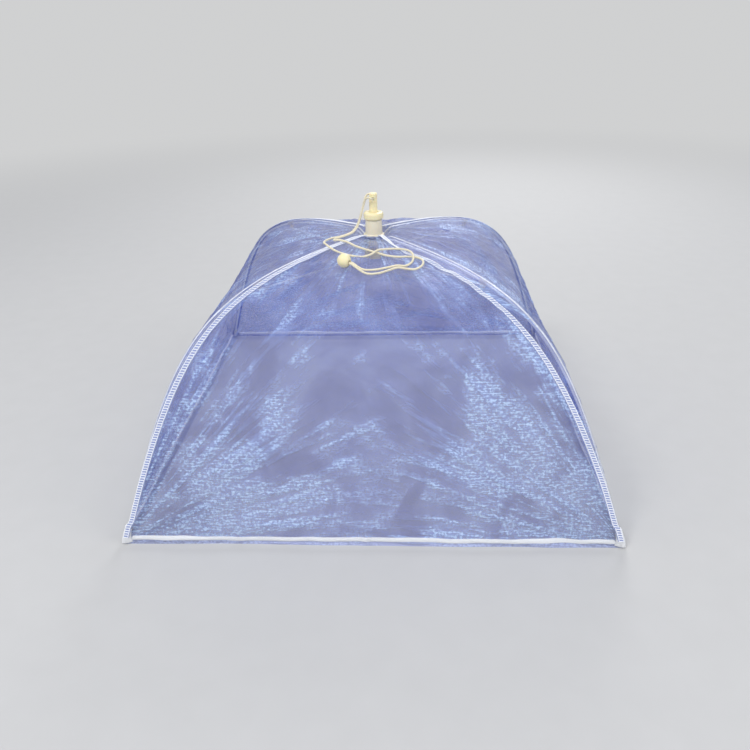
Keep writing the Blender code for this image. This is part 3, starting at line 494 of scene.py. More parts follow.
def station_where(test, low, high):
    """The station between low and high where a test turns true."""
    for _ in range(40):
        middle = (low + high) / 2
        low, high = (low, middle) if test(middle) else (middle, high)
    return (low + high) / 2


HEM_STATION = station_where(lambda station: fold_point(station, CLOTH_MIDDLE)[0].y <= 0, 1.5, 3)
CLAMPED_STATION = station_where(lambda station: fold_point(station, CLOTH_MIDDLE)[0].x >= CLAMPED_R, 0, 1)

# Length of cloth from the hem up to a station, along the middle of a gore
TABLE_STEPS = 400
CLOTH_TABLE = []
before = None
for number in range(TABLE_STEPS + 1):
    station = HEM_STATION * (1 - number / TABLE_STEPS)
    spot = Vector((half_side(station), fold_point(station, CLOTH_MIDDLE)[0].y))
    length = CLOTH_TABLE[-1][1] + (spot - before).length if before else 0.0
    CLOTH_TABLE.append((station, length))
    before = spot
CLOTH_LENGTH = CLOTH_TABLE[-1][1]


def above_hem(station):
    """The length of cloth below a station."""
    place = min(max((1 - station / HEM_STATION) * TABLE_STEPS, 0), TABLE_STEPS - 1e-6)
    low = int(place)
    return CLOTH_TABLE[low][1] + (CLOTH_TABLE[low + 1][1] - CLOTH_TABLE[low][1]) * (place - low)


def station_up(length):
    """The station that lies this length of cloth above the hem."""
    low, high = 0, TABLE_STEPS
    while high - low > 1:
        middle = (low + high) // 2
        low, high = (middle, high) if CLOTH_TABLE[middle][1] <= length else (low, middle)
    (station, before), (further, after) = CLOTH_TABLE[low], CLOTH_TABLE[high]
    return station + (further - station) * (length - before) / (after - before)


def seam_place(corner, station):
    """How far a seam lies from its rib, towards the next corner if positive."""
    share = min(station / 2, 1)
    stray = math.sin(math.pi * share**0.5) ** 1.6 if 0 < share < 1 else 0
    drift = math.sin(math.pi * min(max(station - 1, 0), 0.9) / 0.9)
    place = SEAM_NEAR + SEAM_STRAYS[corner] * stray + SEAM_DRIFTS[corner] * drift
    return SEAM_SIDES[corner] * min(place, half_side(station, 0) * SEAM_LIMIT_SHARE)


def smooth_between(value, low, high):
    """0 up to low, 1 from high on, and a smooth rise between them."""
    share = min(max((value - low) / (high - low), 0), 1)
    return share * share * (3 - 2 * share)


# Creases, as heights: cloth pulled from the lower corners and the collar, the folds that it is
# packed in, as (place from the middle or from the hem, height), and crumples, as (how many to a
# metre, height)
CORNER_PULL, COLLAR_PULL = 1.1 * MM, 0.9 * MM
UPRIGHT_FOLD = (-4 * MM, 0.8 * MM)
LYING_FOLDS = ((96 * MM, 0.55 * MM), (176 * MM, -0.5 * MM))
CRUMPLES = ((28, 2.0 * MM), (70, 0.9 * MM), (180, 0.28 * MM))


def crease(panel, across, up, half):
    """How far a gore's cloth stands off its smooth shape, from the folds it is packed and pulled in."""
    below_top = CLOTH_LENGTH - up
    calm = smooth_between(half - abs(across), 3 * MM, 22 * MM) * smooth_between(below_top, 4 * MM, 45 * MM)
    if calm <= 0:
        return 0.0
    seed = Vector((panel * 7.3, 0, 0))
    place = Vector((across, up, 0))
    height = 0.0
    for side in (-1, 1):
        reach = Vector((200 * MM - side * across, up))
        wander = noise.noise(place * 14 + seed + Vector((side * 3, 0, 0)))
        wave = math.sin(math.atan2(reach.y, max(reach.x, 1e-6)) * 25 + wander * 3 + side + panel * 2)
        fade = smooth_between(reach.length, 15 * MM, 60 * MM)
        height += CORNER_PULL * wave * fade * (1 - smooth_between(reach.length, 90 * MM, 230 * MM))
    reach = Vector((across, below_top))
    wander = noise.noise(place * 18 + seed)
    wave = math.sin(math.atan2(reach.x, max(reach.y, 1e-6)) * 17 + wander * 3 + panel)
    height += COLLAR_PULL * wave * (1 - smooth_between(reach.length, 60 * MM, 190 * MM))
    where, rise = UPRIGHT_FOLD
    sway = noise.noise(Vector((up * 9, panel * 5.1, 0))) * 5 * MM
    fold = (across - where - sway) / (2.2 * MM)
    height += rise * math.exp(-fold * fold) * (1 - smooth_between(up, 150 * MM, 230 * MM))
    for where, rise in LYING_FOLDS:
        sway = noise.noise(Vector((across * 8, where * 40, panel * 2.7))) * 7 * MM
        fold = (up - where - sway) / (2.4 * MM)
        height += rise * math.exp(-fold * fold)
    limp = 0.15 + 0.85 * smooth_between(up, 5 * MM, 30 * MM)  # the hem is stiff
    for number, rise in CRUMPLES:
        spot = place * number + seed
        height += limp * rise * (0.5 - abs(noise.noise(spot) + 0.4 * noise.noise(spot * 1.9)) * 1.6)
    return height * calm


def row_of(station, out):
    """What places a row of cloth: fold, its outward direction, half side, and the gore's own slope."""
    fold, square = fold_point(station, out)
    step = fold_point(station + 0.01, out)[0] - fold_point(station - 0.01, out)[0]
    slope = Vector((-step.y, step.x / math.sqrt(2))).normalized()
    return fold, square, fold.x / math.sqrt(2), slope


def on_canopy(corner, station, beside, out, row=None, creased=True):
    """A point of the canopy beside a corner's fold: positive goes towards the next corner."""
    fold, square, half, slope = row or row_of(station, out)
    panel = corner if beside >= 0 else corner - 1
    across = beside - half if beside >= 0 else half + beside
    share = across / (2 * half) + 0.5
    off = -PANEL_SAG * 4 * share * (1 - share) * math.sin(math.pi * min(max(station - 1, 0), 1))
    if creased:
        off += crease(panel % 4, across, above_hem(station), half)
    point = Vector((across, -(half + off * slope.x), fold.y + off * slope.y))
    point = Matrix.Rotation(QUARTER * panel, 3, "Z") @ point
    rounding = FOLD_ROUND * min(1, half / FOLD_FULL_AT)
    near = abs(beside) / rounding
    if near < 1:
        turn = FIRST_CORNER + QUARTER * corner
        outward = Vector((math.cos(turn) * square.x, math.sin(turn) * square.x, square.y))
        point -= outward * (math.sqrt(2) - 1) * rounding * (1 - near) ** 2
    return point


def places_between(low, high, step):
    """Even places from low to high, about a step apart."""
    count = max(round((high - low) / step), 1)
    return [low + (high - low) * number / count for number in range(count + 1)]


TOP_ROWS, SIDE_ROWS, SIDE_COLUMNS, SEAM_COLUMNS = 8, 92, 36, 6
QUARTER_ROWS = [CLAMPED_STATION + (1 - CLAMPED_STATION) * number / TOP_ROWS for number in range(TOP_ROWS)]
QUARTER_ROWS += [1 + (HEM_STATION - 1) * number / SIDE_ROWS for number in range(SIDE_ROWS + 1)]
FOLD_PLACES = [place * MM for place in (-2.6, -1.7, -0.9, 0, 0.9, 1.7, 2.6)]


def steps(low, high, count):
    """Even places from low to just before high."""
    return [low + (high - low) * number / count for number in range(count)]


def quarter_columns(corner, station, part):
    """Places across one gore's share of a quarter: part 0 comes before the seam, part 1 after it."""
    half = half_side(station)
    folds = [place * min(1, half / FOLD_FULL_AT) for place in FOLD_PLACES]
    seam = seam_place(corner, station)
    if part == 0 and seam > 0:
        beyond = steps(folds[-1], seam, SEAM_COLUMNS)[1:] + [seam]
        return steps(-half, folds[0], SIDE_COLUMNS) + folds + beyond
    if part == 0:
        return steps(-half, seam, SIDE_COLUMNS) + [seam]
    if seam < 0:
        beyond = steps(folds[-1], half, SIDE_COLUMNS)[1:] + [half]
        return steps(seam, folds[0], SEAM_COLUMNS) + folds + beyond
    return steps(seam, half, SIDE_COLUMNS) + [half]


def lay_uv(mesh, spots):
    """Gives a mesh its UV map in metres, from one spot to each vertex."""
    layer = mesh.uv_layers.new(name="metres")
    for loop in mesh.loops:
        layer.data[loop.index].uv = spots[loop.vertex_index]


# Open weave: warp and weft yarns that pass over and under each other, with air between
open_weave, tree, given, result = shader_group(
    "open weave", {"Warp pitch": 0.8 * MM, "Weft pitch": 0.8 * MM}, ("Yarn", "Height"),
)
place = tree.apart(given["Place"])
yarns, turns = [], []
for axis, label in enumerate(("Warp pitch", "Weft pitch")):
    turn = tree.calc("COSINE", tree.calc("MULTIPLY", tree.calc("DIVIDE", place[axis], given[label]), math.pi))
    turns.append(turn)
    yarns.append(tree.calc("POWER", tree.calc("ABSOLUTE", turn), 2.6))
warp_over = tree.calc("MULTIPLY_ADD", tree.calc("MULTIPLY", *turns), 0.25, 0.75)
weft_over = tree.calc("SUBTRACT", 1.5, warp_over)
heights = tree.calc("MULTIPLY", yarns[0], warp_over), tree.calc("MULTIPLY", yarns[1], weft_over)
tree.feed(result, {"Height": tree.calc("MAXIMUM", *heights), "Yarn": tree.calc("MAXIMUM", *yarns)})

# The UV maps of the gores lie a span apart
GORE_SPAN, HALF_SIDE = 0.5, 0.2
CORNER_BEYOND = 4 * MM
HEM_STRIP, STRIP_EDGE = 3.6 * MM, 0.2 * MM
sheer_mesh, tree, shader = material_of(
    "sheer_mesh", (0.1, 0.2, 0.66), 0.36,
    Metallic=0.2, Sheen_Weight=0.15, Sheen_Roughness=0.4, Specular_IOR_Level=0.8,
)
shader.inputs["Sheen Tint"].default_value = (0.75, 0.85, 1.0, 1)
metres = tree.uv_metres()
weave = tree.effect(open_weave, Place=metres)
across, up, _ = tree.apart(metres)
shifted = tree.calc("ADD", across, GORE_SPAN / 2)
gore_seed = tree.calc("MULTIPLY", tree.calc("FLOOR", tree.calc("DIVIDE", shifted, GORE_SPAN)), 3.7)
beside_middle = tree.calc("SUBTRACT", tree.calc("MODULO", shifted, GORE_SPAN), GORE_SPAN / 2)


def spokes(beside, over):
    """Where a place lies round a centre: its angle and its distance."""
    square = tree.calc("MULTIPLY_ADD", beside, beside, tree.calc("MULTIPLY", over, over))
    return tree.calc("ARCTAN2", over, beside), tree.calc("SQRT", square)


def fold_fan(angle, far, count, reach, seed):
    """Folds that radiate from a centre: noise drawn out along its spokes."""
    place = tree.vector(
        tree.calc("MULTIPLY", angle, count), tree.calc("MULTIPLY_ADD", far, reach, seed), gore_seed,
    )
    return tree.noise(place, 1.0, 5.0, Roughness=0.62)


# Folds that fan out from the two lower corners of each gore and from the collar
from_left = tree.calc("ADD", beside_middle, HALF_SIDE + CORNER_BEYOND)
from_right = tree.calc("SUBTRACT", HALF_SIDE + CORNER_BEYOND, beside_middle)
left_folds = fold_fan(*spokes(from_left, up), 16.0, 11.0, 0.0)
right_folds = fold_fan(*spokes(from_right, up), 15.0, 10.0, 20.0)
corner_folds = tree.between(tree.ramp(-0.05, 0.04, beside_middle), left_folds, right_folds)
collar_angle, collar_far = spokes(beside_middle, tree.calc("SUBTRACT", CLOTH_LENGTH, up))
collar_folds = fold_fan(collar_angle, collar_far, 12.0, 7.0, 40.0)
near_collar = tree.calc("SUBTRACT", 1.0, tree.ramp(0.05, 0.19, collar_far))
folds = tree.between(near_collar, corner_folds, collar_folds)
creases = tree.ramp(0.5, 0.66, folds)
patches = tree.noise(tree.vector(across, up, 0.4), 17.0, 4.0, Roughness=0.6, Distortion=0.7)

# Painted glints: a lighter, denser colour that stands in for threads lying flat to the light, most low down,
# to the sides and near the collar
sides_share = tree.ramp(0.03, 0.15, tree.calc("ABSOLUTE", beside_middle))
low_share = tree.calc("SUBTRACT", 1.0, tree.ramp(0.02, 0.2, up))
where = tree.calc("MULTIPLY_ADD", low_share, 0.07, tree.calc("MULTIPLY", sides_share, 0.05))
where = tree.calc("MULTIPLY_ADD", near_collar, 0.04, where)
both = tree.calc("MULTIPLY_ADD", folds, 0.52, tree.calc("MULTIPLY", patches, 0.48))
wefts = tree.vector(tree.calc("MULTIPLY", across, 110.0), tree.calc("MULTIPLY", up, 800.0), 0.0)
flecks = tree.noise(tree.vector(across, up, 0.9), 420.0, 2.0)
threads = tree.calc("MULTIPLY_ADD", tree.noise(wefts, 1.0, 3.0), 0.5, tree.calc("MULTIPLY", flecks, 0.5))
glint = tree.ramp(0.53, 0.63, tree.calc("ADD", both, where))
glint = tree.calc("MULTIPLY", glint, tree.ramp(0.4, 0.62, threads))

# Colour and cover: a random tone, from darker and denser to lighter and thinner, with painted sheen on the
# creases, painted glints that are lighter and denser, double at the turned-up hem, and a painted bright line,
# near white and denser, where the cloth lies on the white wire. Light that slips between the threads makes
# the shadow thin.
strip = tree.calc("SUBTRACT", 1.0, tree.ramp(HEM_STRIP - STRIP_EDGE, HEM_STRIP + STRIP_EDGE, up))
lit_wire_line = tree.add("ShaderNodeAttribute", attribute_name="over_wire").outputs["Fac"]
tone_share = tree.ramp(0.35, 0.65, patches)
tone = tree.color(tone_share, (0.01, 0.035, 0.34), (0.035, 0.1, 0.58))
# Painted sheen on the folds: the colour turns lighter where the creases run, and the cloth is denser there
tone = tree.color(tree.calc("MULTIPLY", creases, 0.45), tone, (0.34, 0.46, 0.92))
# Painted highlight: the glints turn the colour light blue
tone = tree.color(glint, tone, (0.5, 0.68, 1.0))
tone = tree.color(tree.calc("MULTIPLY", strip, 0.75), tone, (0.52, 0.57, 0.86))
# Painted highlight over the wire: near white and denser where the cloth lies on the white rib, partly the
# wire's own colour and partly painted light
tone = tree.color(tree.calc("MULTIPLY", lit_wire_line, 0.85), tone, (0.9, 0.925, 0.98))
cover_share = tree.calc("MULTIPLY_ADD", weave["Yarn"], 0.36, 0.27)
for source, share in ((tone_share, -0.14), (creases, 0.12), (glint, 0.34), (strip, 0.3), (lit_wire_line, 0.5)):
    cover_share = tree.calc("MULTIPLY_ADD", source, share, cover_share)
shadow = tree.add("ShaderNodeLightPath").outputs["Is Shadow Ray"]
thinned = tree.calc("MULTIPLY_ADD", shadow, -0.55, 1.0)
crumple = tree.add(
    "ShaderNodeTexVoronoi", {"Vector": metres, "Scale": 70.0, "Randomness": 1.0}, feature="SMOOTH_F1",
).outputs["Distance"]
relief = tree.bump(crumple, 0.35, 4 * MM, tree.bump(folds, 0.7, 10 * MM))
tree.feed(shader, {
    "Base Color": tone,
    "Alpha": tree.calc("MULTIPLY", cover_share, thinned),
    "Roughness": tree.calc("MULTIPLY_ADD", patches, 0.25, 0.2),
    "Normal": tree.bump(weave["Height"], 0.5, 0.4 * MM, relief),
})

# How far from the fold over the wire the painted bright line stays full, and where it is gone
LIT_LINE_FULL_TO, LIT_LINE_GONE_AT = 1.0 * MM, 2.2 * MM


def follow_rib(made, corner):
    """Rides a sewn piece on its corner's rib, with a mesh of its own."""
    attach(made, "rib_" + CORNERS[corner])
    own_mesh(made)


quarters = []
for corner, name in enumerate(CORNERS):
    corners, faces, spots, wire_shares = [], [], [], []
    for part in (0, 1):
        gore = (corner - 1 + part) % 4
        first = len(corners)
        for station in QUARTER_ROWS:
            row = row_of(station, CLOTH_MIDDLE)
            columns = quarter_columns(corner, station, part)
            for beside in columns:
                corners.append(on_canopy(corner, station, beside, CLOTH_MIDDLE, row))
                from_middle = beside + (-row[2] if part else row[2])
                spots.append((from_middle + GORE_SPAN * gore, above_hem(station)))
                wire_shares.append(1 - smooth_between(abs(beside), LIT_LINE_FULL_TO, LIT_LINE_GONE_AT))
        width = len(columns)
        for line in range(len(QUARTER_ROWS) - 1):
            for place in range(width - 1):
                a = first + line * width + place
                faces.append((a, a + width, a + width + 1, a + 1))
    mesh = bpy.data.meshes.new("canopy_" + name)
    mesh.from_pydata(corners, [], faces)
    lay_uv(mesh, spots)
    mesh.attributes.new("over_wire", "FLOAT", "POINT").data.foreach_set("value", wire_shares)
    mesh.shade_smooth()
    quarter = piece("canopy_" + name, mesh, sheer_mesh)
    quarters.append(quarter)
    follow_rib(quarter, corner)
    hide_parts("mesh_" + SIDES[corner], "mesh_" + SIDES[corner - 1])

# The crown of the canopy, clamped between the collar's flange and the hub
CROWN_ROWS, CROWN_STEP, CROWN_UV_UP = 4, 0.2, 0.3
shape = bmesh.new()
for corner in range(len(CORNERS)):
    before = []
    for number in range(CROWN_ROWS + 1):
        station = CLAMPED_STATION * number / CROWN_ROWS
        line = []
        for share in places_between(-1, 1, CROWN_STEP):
            point = on_canopy(corner, station, share * half_side(station), CLOTH_MIDDLE, creased=False)
            line.append(shape.verts.new(point))
        for a, b, c, d in zip(before, line, line[1:], before[1:]):
            shape.faces.new((a, b, c, d))
        before = line
bmesh.ops.remove_doubles(shape, verts=shape.verts, dist=0.01 * MM)
crown_mesh = bpy.data.meshes.new("canopy_crown")
shape.to_mesh(crown_mesh)
shape.free()
lay_uv(crown_mesh, [(vertex.co.x, CROWN_UV_UP + vertex.co.y) for vertex in crown_mesh.vertices])
crown_mesh.shade_smooth()
crown = piece("canopy_crown", crown_mesh, sheer_mesh)
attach(crown, "cover")


# Stitches
# White polyester thread. One tree sews every row: it sets a small arched thread on each point of a
# row, turned the way the point says, and makes the row one mesh.
THREAD_SIDES, THREAD_STEPS = 6, 6
white_thread, tree, shader = material_of("white_thread", (0.86, 0.89, 0.94), 0.55, Sheen_Weight=0.4)
twist = tree.noise(tree.uv_metres(), 700.0, 2.0)
tree.feed(shader, {
    "Base Color": tree.color(twist, (0.8, 0.83, 0.9), (0.93, 0.945, 0.97)),
    "Normal": tree.bump(twist, 0.5, 0.2 * MM),
})

sewing = bpy.data.node_groups.new("row of stitches", "GeometryNodeTree")
for label, kind in (
    ("Points", "Geometry"), ("Length", "Float"), ("Slant", "Float"), ("Rise", "Float"),
    ("Thread radius", "Float"), ("Thread", "Material"),
):
    sewing.interface.new_socket(label, in_out="INPUT", socket_type="NodeSocket" + kind)
sewing.interface.new_socket("Stitches", in_out="OUTPUT", socket_type="NodeSocketGeometry")
tree = Tree(sewing)
given = tree.nodes.new("NodeGroupInput").outputs
half_length = tree.calc("MULTIPLY", given["Length"], 0.5)
half_slant = tree.calc("MULTIPLY", given["Slant"], 0.5)
ends = [
    tree.vector(tree.calc("MULTIPLY", half_length, way), tree.calc("MULTIPLY", half_slant, way), 0.0)
    for way in (-1.0, 1.0)
]
crest = tree.vector(0.0, 0.0, tree.calc("MULTIPLY", given["Rise"], 2.0))
arc = tree.add("GeometryNodeCurveQuadraticBezier", {
    "Resolution": THREAD_STEPS, "Start": ends[0], "Middle": crest, "End": ends[1],
})
section = tree.add("GeometryNodeCurvePrimitiveCircle", {
    "Resolution": THREAD_SIDES, "Radius": given["Thread radius"],
})
thread = tree.add("GeometryNodeCurveToMesh", {
    "Curve": arc.outputs[0], "Profile Curve": section.outputs[0], "Fill Caps": True,
})
turned = tree.add("GeometryNodeInputNamedAttribute", {"Name": "turned"}, data_type="FLOAT_VECTOR")
rotation = tree.add("FunctionNodeEulerToRotation", {0: turned.outputs[0]})
sewn = tree.add("GeometryNodeInstanceOnPoints", {
    "Points": given["Points"], "Instance": thread.outputs[0], "Rotation": rotation.outputs[0],
})
real = tree.add("GeometryNodeRealizeInstances", {0: sewn.outputs[0]})
threaded = tree.add("GeometryNodeSetMaterial", {"Geometry": real.outputs[0], "Material": given["Thread"]})
tree.feed(tree.nodes.new("NodeGroupOutput"), {0: threaded.outputs[0]})


def stitch_row(name, places, **sizes):
    """One mesh of the stitches at places, each a (point, across, along) in space."""
    row = bpy.data.meshes.new(name + "_row")
    row.from_pydata([point for point, across, along in places], [], [])
    turned = row.attributes.new("turned", "FLOAT_VECTOR", "POINT")
    for number, (point, across, along) in enumerate(places):
        across = across.normalized()
        up = across.cross(along).normalized()
        turned.data[number].vector = Matrix((across, up.cross(across), up)).transposed().to_euler()
    holder = bpy.data.objects.new(name + "_row", row)
    bpy.context.scene.collection.objects.link(holder)
    sew = holder.modifiers.new("sew", "NODES")
    sew.node_group = sewing
    sockets = {item.name: item.identifier for item in sewing.interface.items_tree if item.in_out == "INPUT"}
    for label, value in {**sizes, "Thread": white_thread}.items():
        sew[sockets[label.replace("_", " ")]] = value
    graph = bpy.context.evaluated_depsgraph_get()
    mesh = bpy.data.meshes.new_from_object(holder.evaluated_get(graph))
    bpy.data.objects.remove(holder, do_unlink=True)
    bpy.data.meshes.remove(row)
    mesh.name = name
    mesh.shade_smooth()
    # The thread's UV map: along every stitch in turn, then round it
    each = len(mesh.vertices) // len(places)
    rings = each // THREAD_SIDES
    round_step = math.tau * sizes["Thread_radius"] / THREAD_SIDES
    spots = []
    for number in range(len(mesh.vertices)):
        stitch, corner = divmod(number, each)
        ring, side = divmod(corner, THREAD_SIDES)
        spots.append(((stitch + ring / rings) * sizes["Length"], side * round_step))
    lay_uv(mesh, spots)
    return mesh


def cloth_frame(corner, station, beside, out):
    """(point, across, along) of the canopy's surface: across leads round the cover, along leads down."""
    aside, down = 0.6 * MM, 0.003
    point = on_canopy(corner, station, beside, out)
    across = on_canopy(corner, station, beside + aside, out) - on_canopy(corner, station, beside - aside, out)
    along = on_canopy(corner, station + down, beside, out) - on_canopy(corner, station - down, beside, out)
    return point, across, along


def cloth_patch(name, corner, grid, low, high):
    """A closed thin piece on the canopy over a grid of (station, beside), from low to high above it.

    low and high are functions of a place's two shares, from 0 to 1, down the grid and across it.
    """
    corners, faces, spots = [], [], []
    lines, width = len(grid), len(grid[0])
    for level in (low, high):
        for line, row in enumerate(grid):
            for place, (station, beside) in enumerate(row):
                out = level(line / (lines - 1), place / (width - 1))
                corners.append(on_canopy(corner, station, beside, out))
                spots.append((beside, above_hem(station)))
    top = lines * width
    for line in range(lines - 1):
        for place in range(width - 1):
            a = line * width + place
            faces.append((top + a, top + a + width, top + a + width + 1, top + a + 1))
            faces.append((a, a + 1, a + width + 1, a + width))
    rim = list(range(width)) + [line * width + width - 1 for line in range(1, lines)]
    rim += [(lines - 1) * width + place for place in range(width - 2, -1, -1)]
    rim += [line * width for line in range(lines - 2, 0, -1)]
    for here, after in zip(rim, rim[1:] + rim[:1]):
        faces.append((here, top + here, top + after, after))
    mesh = bpy.data.meshes.new(name)
    mesh.from_pydata(corners, [], faces)
    lay_uv(mesh, spots)
    shape = bmesh.new()
    shape.from_mesh(mesh)
    bmesh.ops.recalc_face_normals(shape, faces=shape.faces)
    shape.to_mesh(mesh)
    shape.free()
    mesh.shade_smooth()
    mesh.set_sharp_from_angle(angle=math.radians(60))
    return mesh


def joined_piece(name, parts):
    """One object from (mesh, material) parts, each material in its own slot."""
    materials = list(dict.fromkeys(material for mesh, material in parts))
    shape = bmesh.new()
    for mesh, material in parts:
        first = len(shape.faces)
        shape.from_mesh(mesh)
        shape.faces.ensure_lookup_table()
        for face in shape.faces[first:]:
            face.material_index = materials.index(material)
        bpy.data.meshes.remove(mesh)
    mesh = bpy.data.meshes.new(name)
    shape.to_mesh(mesh)
    shape.free()
    return piece(name, mesh, *materials)


# Seams
# Each seam's two raw edges are folded flat beside the rib and overlocked with white thread: two
# chained rails with a ladder of threads across, and the doubled mesh showing between them.
SEAM_HALF = 2.4 * MM
SEAM_LOW, SEAM_TOP = 0.55 * MM, 0.85 * MM
SEAM_STEP = 2.2 * MM
RUNG_PITCH, RUNG_SLANT, RUNG_RISE, RUNG_R = 2.0 * MM, 0.3 * MM, 0.2 * MM, 0.38 * MM
RAIL_AT, RAIL_PITCH, RAIL_SLANT, RAIL_RISE, RAIL_R = 1.9 * MM, 2.0 * MM, 0.25 * MM, 0.1 * MM, 0.29 * MM
RAIL_LENGTH = RAIL_PITCH * 1.15  # the chain's links overlap
SEAM_FOOT, SEAM_HEAD = 5.5 * MM, CLOTH_LENGTH - 12 * MM

doubled_mesh, tree, shader = material_of("doubled_mesh", (0.12, 0.22, 0.66), 0.5)
metres = tree.uv_metres()
weave = tree.effect(open_weave, Place=metres, Warp_pitch=0.7 * MM, Weft_pitch=0.7 * MM)
tree.feed(shader, {
    "Base Color": tree.color(tree.noise(metres, 240.0, 4.0), (0.28, 0.34, 0.68), (0.5, 0.58, 0.88)),
    "Alpha": tree.calc("MULTIPLY_ADD", weave["Yarn"], 0.3, 0.5),
    "Normal": tree.bump(weave["Height"], 0.6, 0.4 * MM),
})


def seam_lift(up):
    """The seam's foot lies on the corner pocket."""
    return 1.25 * MM * (1 - smooth_between(up, 14.5 * MM, 19 * MM))


def seam_frames(corner, pitch, aside, out):
    """Places of stitches along a seam, each a (point, across, along)."""
    frames = []
    for up in places_between(SEAM_FOOT, SEAM_HEAD, pitch):
        station = station_up(up)
        frames.append(cloth_frame(corner, station, seam_place(corner, station) + aside, out + seam_lift(up)))
    return frames


for corner, name in enumerate(CORNERS):
    ups = places_between(SEAM_FOOT, SEAM_HEAD, SEAM_STEP)[::-1]
    lifts = [seam_lift(up) for up in ups]
    grid = []
    for station in map(station_up, ups):
        middle = seam_place(corner, station)
        grid.append([(station, middle + SEAM_HALF * share) for share in (-1, -0.5, 0, 0.5, 1)])
    band = cloth_patch(
        "seam_band", corner, grid,
        lambda down, across: SEAM_LOW + lifts[round(down * (len(lifts) - 1))],
        lambda down, across: SEAM_TOP + lifts[round(down * (len(lifts) - 1))],
    )
    rungs = seam_frames(corner, RUNG_PITCH, 0, SEAM_TOP + RUNG_R / 2)
    left_rail, right_rail = (
        seam_frames(corner, RAIL_PITCH, side * RAIL_AT, SEAM_TOP + RAIL_R / 2) for side in (-1, 1)
    )
    rails = []
    for pair in zip(left_rail, right_rail):
        rails += [(point, along, -across) for point, across, along in pair]
    rungs = stitch_row(
        "rungs", rungs, Length=2 * RAIL_AT, Slant=RUNG_SLANT, Rise=RUNG_RISE, Thread_radius=RUNG_R,
    )
    rails = stitch_row(
        "rails", rails, Length=RAIL_LENGTH, Slant=RAIL_SLANT, Rise=RAIL_RISE, Thread_radius=RAIL_R,
    )
    parts = [(band, doubled_mesh), (rungs, white_thread), (rails, white_thread)]
    seam = joined_piece("overlocked_seam_" + name, parts)
    follow_rib(seam, corner)
    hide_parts("seam_" + name)


# Hem
# White woven ribbon on both faces of the cloth, sewn through with one row of stitches, just above
# the lower edge, a narrow turned-up strip of the mesh. Its ends lap in the middle of each side.
RIBBON_LOW, RIBBON_HIGH = 3.5 * MM, 7.0 * MM
RIBBON_ROWS, RIBBON_STEP = (1, 0.75, 0.5, 0.25, 0), 2.4 * MM
RIBBON_LAP, LAP_RISE, LAP_FROM = 1.2 * MM, 0.12, 0.975
POCKET_REACH = 8.4 * MM
SWAY, SWAY_CALM = 0.9 * MM, 12 * MM
HEM_STITCHES = {"Length": 2.2 * MM, "Slant": 0.1 * MM, "Rise": 0.1 * MM, "Thread_radius": 0.2 * MM}
HEM_STITCH_PITCH, HEM_STITCH_OUT = 2.9 * MM, 1.28 * MM
woven_ribbon, tree, shader = material_of(
    "woven_ribbon", (0.84, 0.86, 0.92), 0.6, Sheen_Weight=0.3,
    Subsurface_Weight=0.7, Subsurface_Radius=(0.005, 0.005, 0.005), Subsurface_Scale=0.8,
)
metres = tree.uv_metres()
weave = tree.effect(open_weave, Place=metres, Warp_pitch=0.6 * MM, Weft_pitch=0.8 * MM)
wash = tree.color(tree.noise(metres, 130.0, 4.0), (0.86, 0.88, 0.93), (0.96, 0.965, 0.975))
tree.feed(shader, {
    "Base Color": tree.color(weave["Yarn"], (0.74, 0.78, 0.87), wash),
    "Normal": tree.bump(weave["Height"], 0.7, 0.4 * MM),
})


def ribbon_sway(corner, beside, half):
    """The ribbon wavers a little, as it was sewn by hand to the line, and calms down to its ends."""
    turn = FIRST_CORNER + QUARTER * corner
    place = Vector((beside * 60, math.cos(turn) * 9, math.sin(turn) * 9))
    return SWAY * noise.noise(place) * min(1, max(half - abs(beside), 0) / SWAY_CALM)


def ribbon_inner(down, along):
    """The inner side stands further in at its upper edge."""
    return (0.8 * down - 1.4) * MM


def ribbon_outer(down, along, lap):
    """The outer side is crowned, and an end that laps the next ribbon lies on it."""
    return (0.9 + 0.35 * math.sin(math.pi * down) + (LAP_RISE if lap and along > LAP_FROM else 0)) * MM


half = half_side(HEM_STATION)
for corner, name in enumerate(CORNERS):
    parts = []
    for side in (-1, 1):
        lap = RIBBON_LAP if side > 0 else 0
        grid = []
        for share in RIBBON_ROWS:
            row = []
            for reach in places_between(POCKET_REACH - 1 * MM, half + lap, RIBBON_STEP):
                sway = ribbon_sway(corner, side * reach, half)
                station = station_up(RIBBON_LOW + (RIBBON_HIGH - RIBBON_LOW) * share + sway)
                row.append((station, side * min(reach, half_side(station, 0) + lap)))
            grid.append(row)
        ribbon = cloth_patch(
            "ribbon", corner, grid, ribbon_inner, lambda down, along: ribbon_outer(down, along, lap),
        )
        parts.append((ribbon, woven_ribbon))
        frames = []
        for reach in places_between(POCKET_REACH + 1 * MM, half - 2 * MM, HEM_STITCH_PITCH):
            up = (RIBBON_LOW + RIBBON_HIGH) / 2 + ribbon_sway(corner, side * reach, half)
            frames.append(cloth_frame(corner, station_up(up), side * reach, HEM_STITCH_OUT))
        parts.append((stitch_row("hem_stitches", frames, **HEM_STITCHES), white_thread))
    hem = joined_piece("hem_ribbon_" + name, parts)
    follow_rib(hem, corner)
    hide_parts("hem_" + SIDES[corner], "hem_" + SIDES[corner - 1])


# Corner pockets
# The same ribbon folded round each corner into a small pocket that the rib's tip pushes into, with
# a stitched top edge.
POCKET_TALL, POCKET_SHORT = 16.5 * MM, 8 * MM
POCKET_TOP_REACH, POCKET_FOOT_REACH = 5.2 * MM, 8.4 * MM
POCKET_LINES = 12
POCKET_IN, POCKET_OUT, POCKET_SWELL = 0.6 * MM, 1.15 * MM, 0.8 * MM
POCKET_STITCHES = {"Length": 1.0 * MM, "Slant": 0.1 * MM, "Rise": 0.12 * MM, "Thread_radius": 0.2 * MM}
POCKET_ROW_UP, POCKET_ROW_OUT = 0.88, 1.75 * MM


